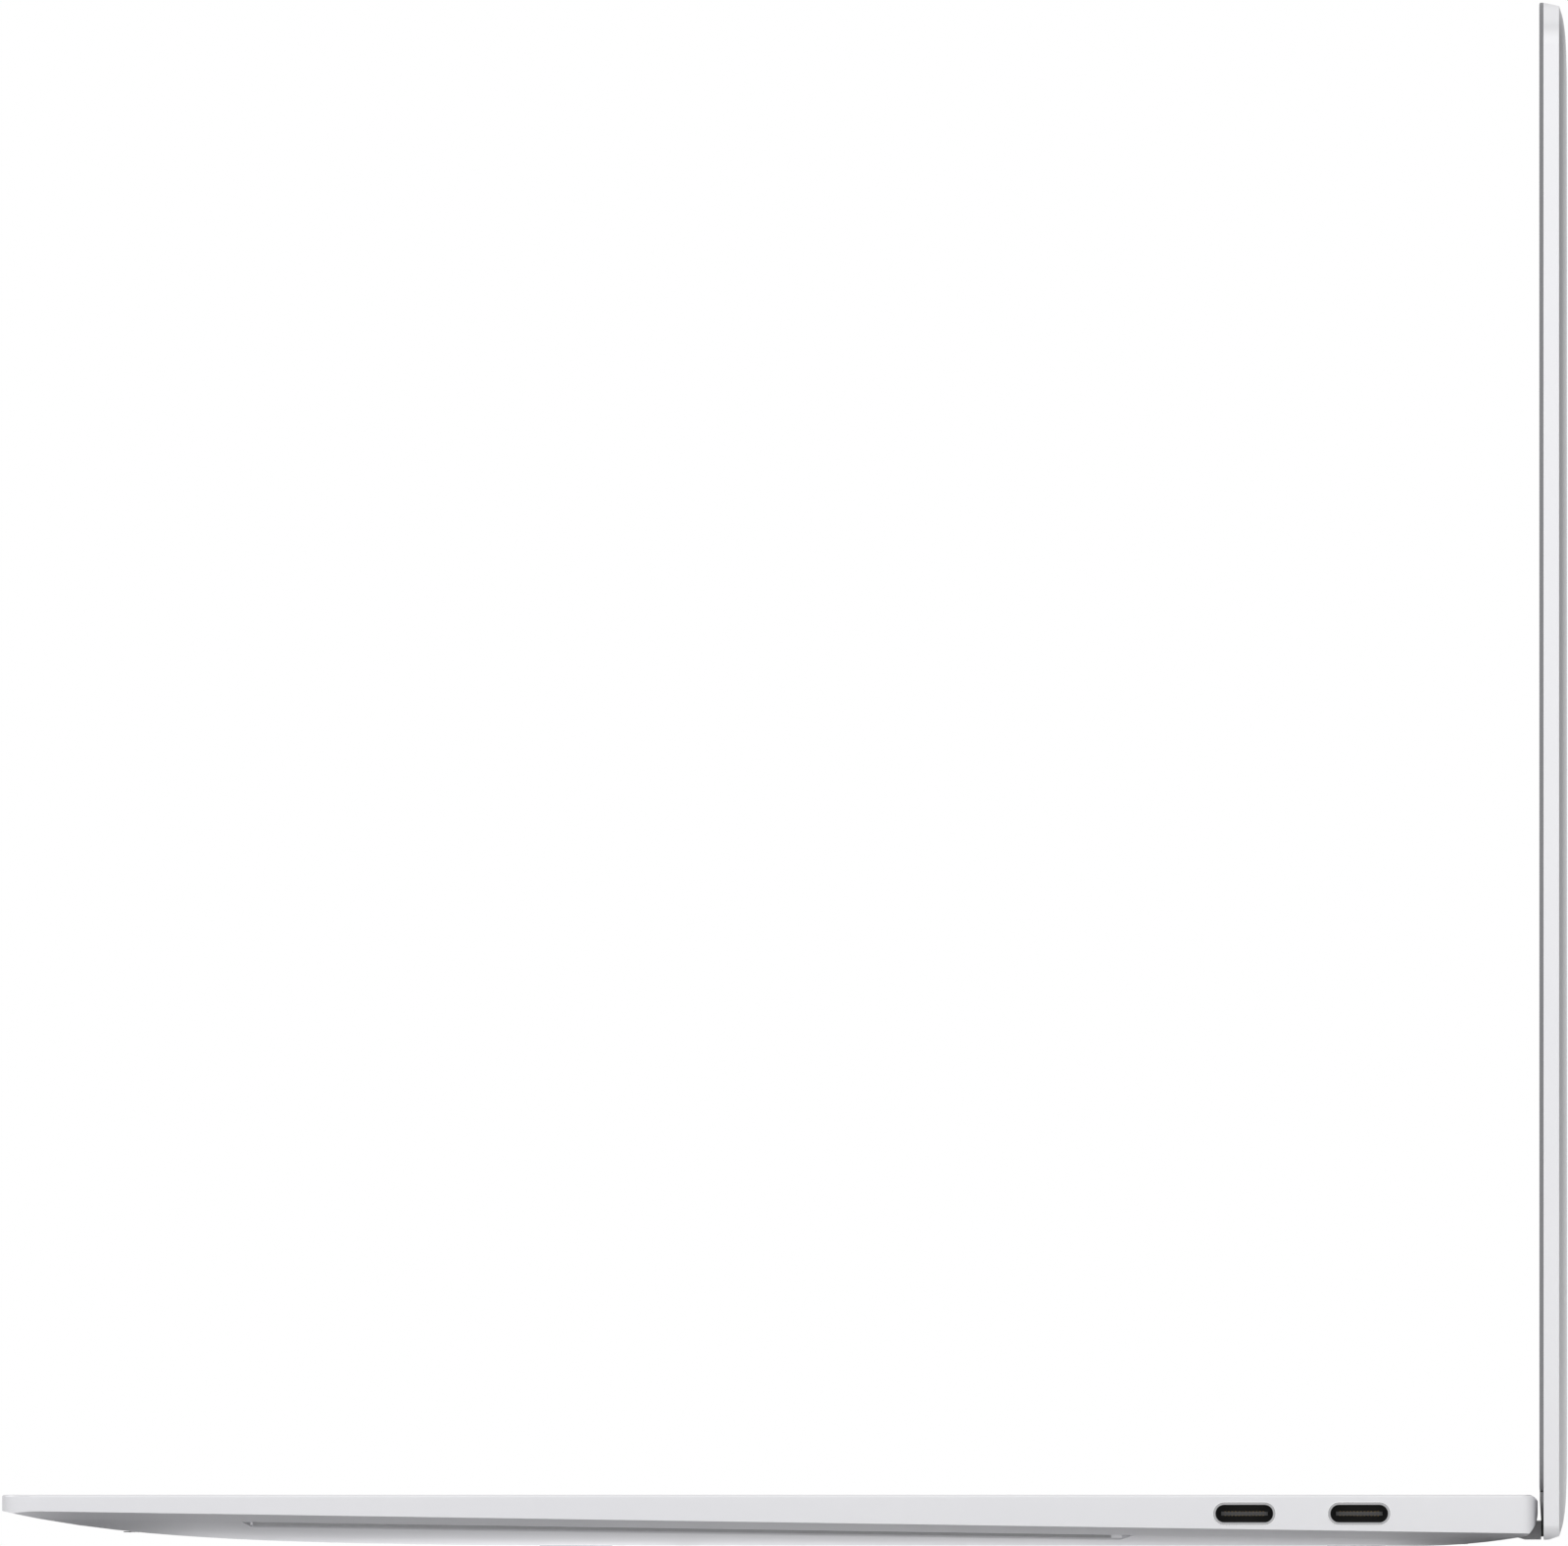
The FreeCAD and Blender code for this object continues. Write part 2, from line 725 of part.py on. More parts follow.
def make_top_case(outer, below, inside, notch):
    deck_low = "-deck_skin - 0.2"
    tools = [below, inside, notch] + port_holes()
    keys_wide = "keyboard_units * key_pitch + 2 * frame_margin"
    keys_deep = "keyboard_rows * row_pitch + function_pitch + 2 * frame_margin"
    tools.append(box("keyboard_opening", (f"-({keys_wide}) / 2", "keyboard_front - frame_margin",
                                          deck_low), (keys_wide, keys_deep, "deck_skin + 1")))
    tools.append(round_box(
        "touchpad_opening",
        ("-touchpad_width / 2 - touchpad_room", "touchpad_front - touchpad_room", deck_low),
        ("touchpad_width + 2 * touchpad_room", "touchpad_depth + 2 * touchpad_room",
         "deck_skin + 1"), "z", size("touchpad_corner") + size("touchpad_room")))
    for name, side in SIDES.items():
        corner = (along_side(side, "grille_inner", "grille_width"),
                  "keyboard_front - frame_margin", deck_low)
        tools.append(box("grille_opening_" + name, corner,
                         ("grille_width", keys_deep, "deck_skin + 1")))
        start = (along_side(side, "notch_half - 1", "notch_wall + 2"), "hinge_y", "hinge_z")
        tools.append(rod("pin_hole_" + name, "x", start, "pin_radius", "notch_wall + 2"))
    for number in range(-9, 10):
        corner = (f"{number} * 11 - 4", "notch_front - notch_wall - 1", "-4.4")
        tools.append(box(f"outlet_{number + 9}", corner, ("8", "notch_wall + 2", "2.4")))
    for number, (x, y, low) in enumerate(hinge_screw_places()):
        tools.append(rod(f"bracket_screw_hole_{number}", "z", (x, y, low), "small_screw", "0.6"))
    shell = cut("top_shell", outer, tools)
    bosses = []
    holes = []
    for number, (x, y, low) in enumerate(screw_seats()):
        height = f"{-low} - deck_skin - 0.8"
        bosses.append(rod(f"boss_{number}", "z", (x, y, low + 1.0), "boss_radius", height))
        holes.append(rod(f"boss_hole_{number}", "z", (x, y, low), "screw_radius", "4"))
    case = cut("top_case", fuse("top_with_bosses", [shell] + bosses), holes)
    sub_part(case, "top_case")


def make_bottom_cover(outer, below, inside, notch):
    tools = [inside, notch]
    for side in SIDES.values():
        tools.append(solid_feature("side_recess", recess_tool(side)))
    for number, (x, y, low) in enumerate(screw_seats()):
        tools.append(rod(f"head_seat_{number}", "z", (x, y, low - 1), "screw_head", "1.5"))
        tools.append(rod(f"screw_way_{number}", "z", (x, y, low), "screw_radius", "2"))
    for side in SIDES.values():
        for number in range(-5, 6):
            corner = (f"{side} * fan_x + {number} * 3 - 0.6", "fan_y - 11", "-base_height - 1")
            tools.append(box("inlet_slot", corner, ("1.2", "22", "3")))
    cover = cut("bottom_cover", common("lower_block", outer, below), tools)
    sub_part(cover, "bottom_cover")


def make_feet():
    for name in ("front", "rear"):
        corner = ("-foot_length / 2", f"{name}_foot_y", "-base_height - foot_height")
        foot = rounded_body(name + "_foot", corner, ("foot_length", "foot_width", "foot_height"),
                            "z", "foot_width / 2 - 0.1")
        sub_part(foot, name + "_foot")


def make_bottom_screws():
    pieces = []
    for number, (x, y, low) in enumerate(screw_seats()):
        head = rod(f"screw_head_{number}", "z", (x, y, low + 0.05), "screw_head", "0.45")
        shank = rod(f"screw_shank_{number}", "z", (x, y, low + 0.3), "screw_radius", "2.6")
        pieces.append(fuse(f"bottom_screw_{number}", [head, shank]))
    sub_part(gather("bottom_screws", pieces), "bottom_screws")


def make_keyboard():
    wide = "keyboard_units * key_pitch + 2 * frame_margin"
    deep = "keyboard_rows * row_pitch + function_pitch + 2 * frame_margin"
    corner = (f"-({wide}) / 2", "keyboard_front - frame_margin", "-frame_thickness")
    slab = box("frame_slab", corner, (wide, deep, "frame_thickness"))
    sub_part(cut("keyboard_frame", slab, [key_openings()]), "keyboard_frame")
    corner = (f"-({wide}) / 2", "keyboard_front - frame_margin", "plate_top - plate_thickness")
    plate = rounded_body("keyboard_plate", corner, (wide, deep, "plate_thickness"), "z", "2")
    sub_part(plate, "keyboard_plate")
    groups = {}
    for number, (label, row, column, width, count, span) in enumerate(KEY_RUNS):
        low, extent = key_place(row, column, width, span)
        body = new_body(f"key_run_{number}")
        block = add_box(body, "Additive", low + ("-key_drop - key_height",),
                        extent + ("key_height",))
        rounded = add_fillet(body, edge_numbers(block.Shape, "z"), "key_corner")
        top = rounded.Shape.BoundBox.ZMax
        rim = [index for index, edge in enumerate(rounded.Shape.Edges, start=1)
               if all(abs(point.Z - top) < 1e-6 for point in edge.Vertexes)]
        add_fillet(body, rim, "key_edge")
        if count > 1:
            repeat(body, "X_Axis", "key_pitch", count)
        groups.setdefault(label, []).append(body)
    for label, bodies in groups.items():
        piece = bodies[0] if len(bodies) == 1 else gather(label, bodies)
        sub_part(piece, label)


def make_touchpad():
    corner = ("-touchpad_width / 2", "touchpad_front", "-touchpad_drop - touchpad_thickness")
    extent = ("touchpad_width", "touchpad_depth", "touchpad_thickness")
    sub_part(rounded_body("touchpad", corner, extent, "z", "touchpad_corner"), "touchpad")
    bracket = new_body("touchpad_bracket")
    add_box(bracket, "Additive", ("-touchpad_width / 2 - 3", "touchpad_front - 1", "-2.1"),
            ("touchpad_width + 6", "touchpad_depth + 2", "0.5"))
    add_box(bracket, "Additive", ("-touchpad_width / 2 - 3", "touchpad_front - 1", "-1.8"),
            ("2.4", "touchpad_depth + 2", "1.8 - deck_skin"))
    add_box(bracket, "Additive", ("touchpad_width / 2 + 0.6", "touchpad_front - 1", "-1.8"),
            ("2.4", "touchpad_depth + 2", "1.8 - deck_skin"))
    add_box(bracket, "Subtractive", ("-touchpad_width / 4", "touchpad_front + 25", "-3"),
            ("touchpad_width / 2", "touchpad_depth - 50", "2"))
    sub_part(bracket, "touchpad_bracket")


def make_speakers():
    deep = "keyboard_rows * row_pitch + function_pitch + 2 * frame_margin"
    for name, side in SIDES.items():
        corner = (along_side(side, "grille_inner", "grille_width"),
                  "keyboard_front - frame_margin", "-deck_skin")
        grille = box("speaker_grille_" + name, corner, ("grille_width", deep, "deck_skin"))
        sub_part(grille, "speaker_grille_" + name)
        corner = (along_side(side, "118", "20"), "108", "-5.6")
        speaker = rounded_body("speaker_" + name, corner, ("20", "44", "2.6"), "z", "3")
        sub_part(speaker, "speaker_" + name)


def make_ports():
    outer_radius = 0.49 * size("port_height")
    inner_radius = 0.49 * (size("port_height") - 2 * size("port_metal"))
    start = "base_width / 2 - port_length"
    for side_name, side in SIDES.items():
        for place in ("front", "rear"):
            name = f"usb_c_{side_name}_{place}"
            corner = (along_side(side, start, "port_length"),
                      f"port_{place}_y - port_width / 2", "port_z - port_height / 2")
            extent = ("port_length", "port_width", "port_height")
            shell = round_box(name + "_shell", corner, extent, "x", outer_radius)
            corner = (along_side(side, start + " + port_metal", "port_length"),
                      f"port_{place}_y - port_width / 2 + port_metal",
                      "port_z - port_height / 2 + port_metal")
            extent = ("port_length", "port_width - 2 * port_metal",
                      "port_height - 2 * port_metal")
            mouth = round_box(name + "_mouth", corner, extent, "x", inner_radius)
            corner = (along_side(side, start, "tongue_length"),
                      f"port_{place}_y - tongue_width / 2", "port_z - tongue_thickness / 2")
            tongue = box(name + "_tongue", corner,
                         ("tongue_length", "tongue_width", "tongue_thickness"))
            port = fuse(name, [cut(name + "_can", shell, [mouth]), tongue])
            sub_part(port, name)


def make_battery():
    corner = ("-2 * cell_pitch - 1", "battery_front - 1", "battery_top - cell_thickness - 0.3")
    tray = rounded_body("battery_tray", corner, ("4 * cell_pitch + 2", "battery_depth + 2", "0.3"),
                        "z", "2")
    sub_part(tray, "battery_tray")
    corner = ("-2 * cell_pitch + 1", "battery_front", "battery_top - cell_thickness")
    cells = rounded_body("battery_cells", corner,
                         ("cell_width", "battery_depth", "cell_thickness"), "z", "2")
    repeat(cells, "X_Axis", "cell_pitch", "4")
    sub_part(cells, "battery_cells")


def make_board():
    low = "board_top - board_thickness"
    board = new_body("motherboard")
    add_box(board, "Additive", ("-board_half", "106", low), ("2 * board_half", "94",
                                                            "board_thickness"))
    add_box(board, "Subtractive", ("-board_half - 1", "180", low + " - 1"), ("21", "30", "4"))
    for x in (-60, 60):
        for y in (112, 174):
            add_cylinder(board, "Subtractive", (x, y, low + " - 1"), "1.2", "4")
    sub_part(board, "motherboard")
    pieces = []
    for number, (x, y, wide, deep) in enumerate(CHIPS):
        corner = (x, y, low + " - chip_height")
        pieces.append(box(f"chip_{number}", corner, (wide, deep, "chip_height")))
    sub_part(gather("board_chips", pieces), "board_chips")
    corner = ("-18", "142", low + " - chip_height - plate_height")
    sub_part(rounded_body("cold_plate", corner, ("36", "28", "plate_height"), "z", "2"),
             "cold_plate")
    corner = ("-62", "118", low + " - 2")
    sub_part(rounded_body("ssd", corner, ("38", "22", "2"), "z", "1"), "ssd")
    corner = ("20", "108", low + " - 1.6")
    sub_part(rounded_body("wifi_card", corner, ("22", "12", "1.6"), "z", "1"), "wifi_card")


def make_cooling():
    pipe_top = "board_top - board_thickness - chip_height - plate_height"
    pipe = new_body("heat_pipe")
    add_box(pipe, "Additive", ("-4", "144", pipe_top + " - pipe_height"),
            ("8", "67.5", "pipe_height"))
    add_box(pipe, "Additive", ("-115", "206.5", pipe_top + " - pipe_height"),
            ("230", "5", "pipe_height"))
    sub_part(pipe, "heat_pipe")
    blocks = []
    for name, side in SIDES.items():
        fins = new_body("fins_" + name)
        left = along_side(side, "72", "45")
        add_box(fins, "Additive", (left, "205", pipe_top), ("fin_thickness", "7.5", "2.4"))
        repeat(fins, "X_Axis", "fin_pitch", "30")
        floor = box("fin_floor_" + name, (left, "205", pipe_top), ("45", "7.5", "0.3"))
        blocks.append(fuse("fin_block_" + name, [floor, fins]))
    sub_part(gather("heat_sink_fins", blocks), "heat_sink_fins")
    for name, side in SIDES.items():
        make_fan(name, side)


def make_fan(name, side):
    centre_x = f"{side} * fan_x"
    low = "fan_top - fan_height"
    housing = new_body("fan_housing_" + name)
    add_box(housing, "Additive", (f"{centre_x} - fan_side / 2", "fan_y - fan_side / 2", low),
            ("fan_side", "fan_side", "fan_height"))
    centre = (centre_x, "fan_y", f"{low} + fan_wall")
    add_cylinder(housing, "Subtractive", centre, "fan_cavity", "fan_height - 2 * fan_wall")
    add_box(housing, "Subtractive", (f"{centre_x} - fan_cavity + 1", "fan_y", f"{low} + fan_wall"),
            ("2 * fan_cavity - 2", "fan_side", "fan_height - 2 * fan_wall"))
    add_cylinder(housing, "Subtractive", (centre_x, "fan_y", low + " - 1"), "fan_inlet", "2")
    add_cylinder(housing, "Additive", (centre_x, "fan_y", low + " + 0.85"), "fan_shaft",
                 "fan_height - 1")
    sub_part(housing, "fan_housing_" + name)
    rotor = new_body("fan_rotor_" + name)
    rotor_low = f"{low} + 0.45"
    add_box(rotor, "Additive", (f"{centre_x} + rotor_hub - 1", "fan_y - 0.3", rotor_low),
            ("rotor_radius - rotor_hub + 0.9", "0.6", "rotor_height"))
    hub_start = rotor.Tip
    blades = rotor.newObject("PartDesign::PolarPattern", "blades_" + name)
    blades.Originals = [hub_start]
    axis_sketch = rotor.newObject("Sketcher::SketchObject", "spin_centre_" + name)
    axis_sketch.AttachmentSupport = (origin_feature(rotor, "XY_Plane"), [""])
    axis_sketch.MapMode = "FlatFace"
    axis_sketch.setExpression("AttachmentOffset.Base.x", formula(centre_x))
    axis_sketch.setExpression("AttachmentOffset.Base.y", formula("fan_y"))
    blades.Axis = (axis_sketch, ["N_Axis"])
    blades.Angle = 360
    blades.Occurrences = 24
    rotor.Tip = blades
    doc.recompute()
    add_cylinder(rotor, "Additive", (centre_x, "fan_y", rotor_low), "rotor_hub", "rotor_height")
    add_cylinder(rotor, "Subtractive", (centre_x, "fan_y", rotor_low + " + 0.25"),
                 "fan_shaft + pin_clearance", "rotor_height")
    sub_part(rotor, "fan_rotor_" + name)


def hinge_screw_places():
    """Places of the bracket screws: x, y and the level of the deck's inner face."""
    return [(side * x, y, "-deck_skin") for side in (-1, 1) for x, y in ((138, 214), (146, 214))]


def make_brackets():
    for name, side in SIDES.items():
        inner = "notch_half + notch_wall"
        cheek = box("bracket_cheek_" + name,
                    (along_side(side, inner, "3"), "bracket_front", "-4.6"),
                    ("3", "bracket_rear - bracket_front", "4.6 - deck_skin"))
        plate = box("bracket_plate_" + name,
                    (along_side(side, inner, "20"), "bracket_front", "-deck_skin - 1"),
                    ("20", "bracket_rear - bracket_front", "1"))
        length = "notch_half + notch_wall + 3 - knuckle_inner - 0.4"
        pin = rod("bracket_pin_" + name, "x",
                  (along_side(side, "knuckle_inner + 0.4", length), "hinge_y", "hinge_z"),
                  "pin_radius", length)
        holes = []
        for number, (x, y, _) in enumerate(hinge_screw_places()):
            if x * side > 0:
                holes.append(rod(f"bracket_hole_{number}", "z", (x, y, "-deck_skin - 1.5"),
                                 "small_screw", "2"))
        bracket = cut("hinge_bracket_" + name, fuse("bracket_" + name, [cheek, plate, pin]), holes)
        sub_part(bracket, "hinge_bracket_" + name)
    pieces = []
    for number, (x, y, level) in enumerate(hinge_screw_places()):
        head = rod(f"bracket_screw_head_{number}", "z", (x, y, level + " - 1.6"), "small_head",
                   "0.6")
        shank = rod(f"bracket_screw_shank_{number}", "z", (x, y, level + " - 1.2"), "small_screw",
                    "1.7")
        pieces.append(fuse(f"bracket_screw_{number}", [head, shank]))
    sub_part(gather("hinge_screws_base", pieces), "hinge_screws_base")


def make_arms():
    leaf_low = "leaf_top - leaf_thickness"
    for name, side in SIDES.items():
        left = along_side(side, "knuckle_inner", "knuckle_length")
        knuckle = rod("arm_knuckle_" + name, "x", (left, "hinge_y", "hinge_z"), "knuckle_radius",
                      "knuckle_length")
        leaf = box("arm_leaf_" + name, (left, "hinge_y", leaf_low),
                   ("knuckle_length", "lid_floor - hinge_y", "leaf_thickness"))
        stem = box("arm_stem_" + name,
                   (along_side(side, "knuckle_inner - 9", "knuckle_length + 9"), "lid_floor - 1",
                    leaf_low), ("knuckle_length + 9", "1", f"7.6 - ({leaf_low})"))
        bore = rod("arm_bore_" + name, "x", (along_side(side, "knuckle_inner - 1",
                                                        "knuckle_length + 2"),
                                             "hinge_y", "hinge_z"),
                   "pin_radius + pin_clearance", "knuckle_length + 2")
        holes = [bore]
        for number, (x, z) in enumerate(lid_screw_places(side)):
            holes.append(rod(f"arm_hole_{name}_{number}", "y", (x, "lid_floor - 2", z),
                             "small_screw", "3"))
        arm = cut("hinge_arm_" + name, fuse("arm_" + name, [knuckle, leaf, stem]), holes)
        sub_part(arm, "hinge_arm_" + name)
    pieces = []
    for name, side in SIDES.items():
        for number, (x, z) in enumerate(lid_screw_places(side)):
            head = rod(f"lid_screw_head_{name}_{number}", "y", (x, "lid_floor - 1.5", z),
                       "small_head", "0.5")
            shank = rod(f"lid_screw_shank_{name}_{number}", "y", (x, "lid_floor - 1.2", z),
                        "small_screw", "1.7")
            pieces.append(fuse(f"lid_screw_{name}_{number}", [head, shank]))
    sub_part(gather("hinge_screws_lid", pieces), "hinge_screws_lid")


def lid_screw_places(side):
    """Places of the arm screws on one side: x and z."""
    return [(side * 114, 0.0), (side * 114, 5.0), (side * 123, 5.0)]


def make_hinge_cover():
    barrel = rod("cover_barrel", "x", ("-barrel_half", "hinge_y", "hinge_z"), "barrel_radius",
                 "2 * barrel_half")
    web = prism("cover_web", (
        ("hinge_y", "hinge_z + 0.6"),
        ("hinge_y + 2.7", "web_top"),
        ("web_rear", "web_top"),
        ("web_rear", "web_bottom"),
        ("hinge_y + 1.3", "web_bottom"),
        ("hinge_y - 0.4", "hinge_z - barrel_radius + 0.05"),
    ), "-barrel_half", "2 * barrel_half")
    tools = []
    for name, side in SIDES.items():
        deep = "barrel_half - knuckle_inner + 1.5"
        left = along_side(side, "knuckle_inner - 0.5", deep)
        tools.append(rod("cover_pocket_" + name, "x", (left, "hinge_y", "hinge_z"),
                         "pocket_radius", deep))
        tools.append(box("cover_slot_" + name,
                         (along_side(side, "knuckle_inner - 0.1", "knuckle_length + 0.2"),
                          "hinge_y", "leaf_top - leaf_thickness - slot_room"),
                         ("knuckle_length + 0.2", "8", "leaf_thickness + 2 * slot_room")))
    sub_part(cut("hinge_cover", fuse("cover_solid", [barrel, web]), tools), "hinge_cover")


def make_lower_bezel():
    strip = prism("bezel_strip", (
        ("glass_front", "glass_bottom - seam"),
        ("glass_front", "-0.8"),
        ("web_rear", "web_top"),
        ("web_rear", "web_bottom + 0.43"),
        ("lid_face", "web_bottom + 0.43"),
        ("lid_face", "glass_bottom - seam"),
    ), "-barrel_half", "2 * barrel_half")
    slots = []
    for name, side in SIDES.items():
        slots.append(box("bezel_slot_" + name,
                         (along_side(side, "knuckle_inner - 0.1", "knuckle_length + 0.2"),
                          "glass_front - 1", "leaf_top - leaf_thickness - slot_room"),
                         ("knuckle_length + 0.2", "3", "leaf_thickness + 2 * slot_room")))
    sub_part(cut("lower_bezel", strip, slots), "lower_bezel")


def make_lid():
    cavity = round_box("lid_cavity",
                       ("-base_width / 2 + lid_wall", "lid_face - 1", "2"),
                       ("base_width - 2 * lid_wall", "lid_floor - lid_face + 1",
                        "lid_top - lid_wall - 2"), "y", size("lid_corner") - size("lid_wall"))
    low_cavity = box("lid_low_cavity", ("-barrel_half - 0.1", "lid_face - 1", "-5.4"),
                     ("2 * barrel_half + 0.2", "lid_floor - lid_face + 1", "8"))
    tools = [cavity, low_cavity]
    for name, side in SIDES.items():
        for number, (x, z) in enumerate(lid_screw_places(side)):
            tools.append(rod(f"lid_screw_hole_{name}_{number}", "y", (x, "lid_floor", z),
                             "small_screw", "0.6"))
    sub_part(cut("lid_shell", solid_feature("lid_outer", lid_block()), tools), "lid_shell")
    corner = ("-glass_half", "glass_front", "glass_bottom")
    extent = ("2 * glass_half", "lid_face - glass_front", "glass_top - glass_bottom")
    sub_part(rounded_body("display_glass", corner, extent, "y", "glass_corner"), "display_glass")
    make_lower_bezel()
    make_display()


def make_display():
    panel_face = "lid_face + gasket_thickness"
    panel = rounded_body("display_panel", ("-panel_half", panel_face, "panel_bottom"),
                         ("2 * panel_half", "lid_floor - 0.1 - lid_face - gasket_thickness",
                          "panel_top - panel_bottom"), "y", "1")
    sub_part(panel, "display_panel")
    ring = rounded_body("gasket_ring", ("-panel_half", "lid_face", "panel_bottom"),
                        ("2 * panel_half", "gasket_thickness", "panel_top - panel_bottom"),
                        "y", "1")
    window = box("gasket_window",
                 ("-panel_half + gasket_width", "lid_face - 1", "panel_bottom + gasket_width"),
                 ("2 * panel_half - 2 * gasket_width", "3",
                  "panel_top - panel_bottom - 2 * gasket_width"))
    sub_part(cut("display_gasket", ring, [window]), "display_gasket")
    module = box("webcam_module", ("-5", "lid_face + 0.6", "panel_top + 0.4"), ("10", "1.3", "3.2"))
    lens = rod("webcam_lens", "y", ("0", "lid_face", "panel_top + 2"), "1.2", "1")
    sub_part(fuse("webcam", [module, lens]), "webcam")


def check_and_export():
    doc.recompute()
    broken = [item.Label for item in doc.Objects
              if "Invalid" in item.State or "Error" in item.State]
    if broken:
        raise RuntimeError(f"features that failed: {broken}")
    os.makedirs("parts", exist_ok=True)
    for piece in nodes:
        shape = piece.Shape
        if shape.isNull() or not shape.isValid():
            raise RuntimeError(f"{piece.Label} has no valid shape")
        shape.exportStep(f"parts/{piece.Label}.step")
        print(piece.Label, len(shape.Solids), round(shape.Volume, 1))
    print(len(nodes), "sub-parts")


fill_sheet()
make_base_shells()
make_feet()
make_bottom_screws()
make_keyboard()
make_touchpad()
make_speakers()
make_ports()
make_battery()
make_board()
make_cooling()
make_brackets()
make_arms()
make_hinge_cover()
make_lid()
check_and_export()
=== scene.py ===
import math

import bmesh
import bpy
from mathutils import Matrix, Vector


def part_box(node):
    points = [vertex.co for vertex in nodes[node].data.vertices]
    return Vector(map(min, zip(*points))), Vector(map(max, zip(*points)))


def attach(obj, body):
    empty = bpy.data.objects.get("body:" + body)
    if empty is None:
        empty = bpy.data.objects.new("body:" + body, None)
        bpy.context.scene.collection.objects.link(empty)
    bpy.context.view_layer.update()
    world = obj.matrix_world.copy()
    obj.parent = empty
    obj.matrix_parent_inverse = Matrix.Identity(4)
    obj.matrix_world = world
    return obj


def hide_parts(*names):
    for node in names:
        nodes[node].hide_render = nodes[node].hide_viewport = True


# A slim laptop computer in a white studio, seen square-on from its right side.
# All lengths are in metres, in the frame of the CAD model.

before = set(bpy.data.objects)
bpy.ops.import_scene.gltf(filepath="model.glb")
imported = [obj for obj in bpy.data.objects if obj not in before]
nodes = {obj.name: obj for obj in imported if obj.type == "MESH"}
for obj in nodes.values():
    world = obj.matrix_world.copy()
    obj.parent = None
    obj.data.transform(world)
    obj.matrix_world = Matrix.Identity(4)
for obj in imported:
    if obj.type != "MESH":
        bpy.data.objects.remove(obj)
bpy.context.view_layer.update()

MM = 0.001
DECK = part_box("top_case")[1].z
SIDE_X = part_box("top_case")[1].x
FRONT_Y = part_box("top_case")[0].y

# Keyboard grid
KEY_PITCH = 18.4 * MM
ROW_PITCH = 18.2 * MM
FUNCTION_ROW = 5
FUNCTION_PITCH = 12.4 * MM
FRAME_MARGIN = 0.8 * MM
KEYS_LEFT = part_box("keyboard_frame")[0].x + FRAME_MARGIN
KEYS_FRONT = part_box("keyboard_frame")[0].y + FRAME_MARGIN
KEY_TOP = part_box("key_space")[1].z
LEGEND_LEVEL = KEY_TOP + 0.02 * MM
LEGEND_HALF_THICKNESS = 0.01 * MM


# Materials


def new_material(name):
    material = bpy.data.materials.new(name)
    material.use_nodes = True
    tree = material.node_tree
    shader = tree.nodes["Principled BSDF"]
    return material, tree, shader


def add_node(tree, kind, inputs=(), **settings):
    node = tree.nodes.new(kind)
    for key, value in settings.items():
        setattr(node, key, value)
    for key, value in dict(inputs).items():
        if isinstance(value, bpy.types.NodeSocket):
            tree.links.new(value, node.inputs[key])
        else:
            node.inputs[key].default_value = value
    return node


def object_point(tree):
    return add_node(tree, "ShaderNodeTexCoord").outputs["Object"]


def coordinates(tree):
    """The x, y and z of the point on the surface."""
    split = add_node(tree, "ShaderNodeSeparateXYZ", {"Vector": object_point(tree)})
    return split.outputs["X"], split.outputs["Y"], split.outputs["Z"]


def calculate(tree, operation, *values):
    """One step of arithmetic on numbers or sockets."""
    node = add_node(tree, "ShaderNodeMath", dict(enumerate(values)), operation=operation)
    return node.outputs[0]


def close_to(tree, value, middle, distance):
    """One where a value lies within a distance of its middle, and zero elsewhere."""
    offset = calculate(tree, "SUBTRACT", value, middle)
    return calculate(tree, "LESS_THAN", calculate(tree, "ABSOLUTE", offset), distance)


def noise(tree, scale, detail=2.0):
    point = object_point(tree)
    node = add_node(tree, "ShaderNodeTexNoise", {"Vector": point, "Scale": scale, "Detail": detail})
    return node.outputs["Fac"]


def remap(tree, value, low, high, start=0.3, end=0.7):
    node = add_node(tree, "ShaderNodeMapRange", {
        "Value": value, "From Min": start, "From Max": end, "To Min": low, "To Max": high})
    return node.outputs["Result"]


def blend_colours(tree, factor, first, second):
    node = add_node(tree, "ShaderNodeMix", data_type="RGBA")
    tree.links.new(factor, node.inputs["Factor"])
    for socket, colour in zip((node.inputs[6], node.inputs[7]), (first, second)):
        if isinstance(colour, bpy.types.NodeSocket):
            tree.links.new(colour, socket)
        else:
            socket.default_value = (*colour, 1.0)
    return node.outputs[2]


def add_bump(tree, shader, height, strength, distance):
    node = add_node(tree, "ShaderNodeBump", {
        "Height": height, "Strength": strength, "Distance": distance})
    tree.links.new(node.outputs["Normal"], shader.inputs["Normal"])


def grained(name, light, dark, metallic, roughness, grain, depth, mottle=18.0):
    """A surface with a soft mottle of two near colours and a fine even grain."""
    material, tree, shader = new_material(name)
    shader.inputs["Metallic"].default_value = metallic
    colour = blend_colours(tree, remap(tree, noise(tree, mottle, 3.0), 0.0, 1.0), light, dark)
    tree.links.new(colour, shader.inputs["Base Color"])
    fine = noise(tree, grain, 3.0)
    spread = 0.05
    tree.links.new(remap(tree, fine, roughness - spread, roughness + spread),
                   shader.inputs["Roughness"])
    add_bump(tree, shader, fine, 0.25, depth)
    return material


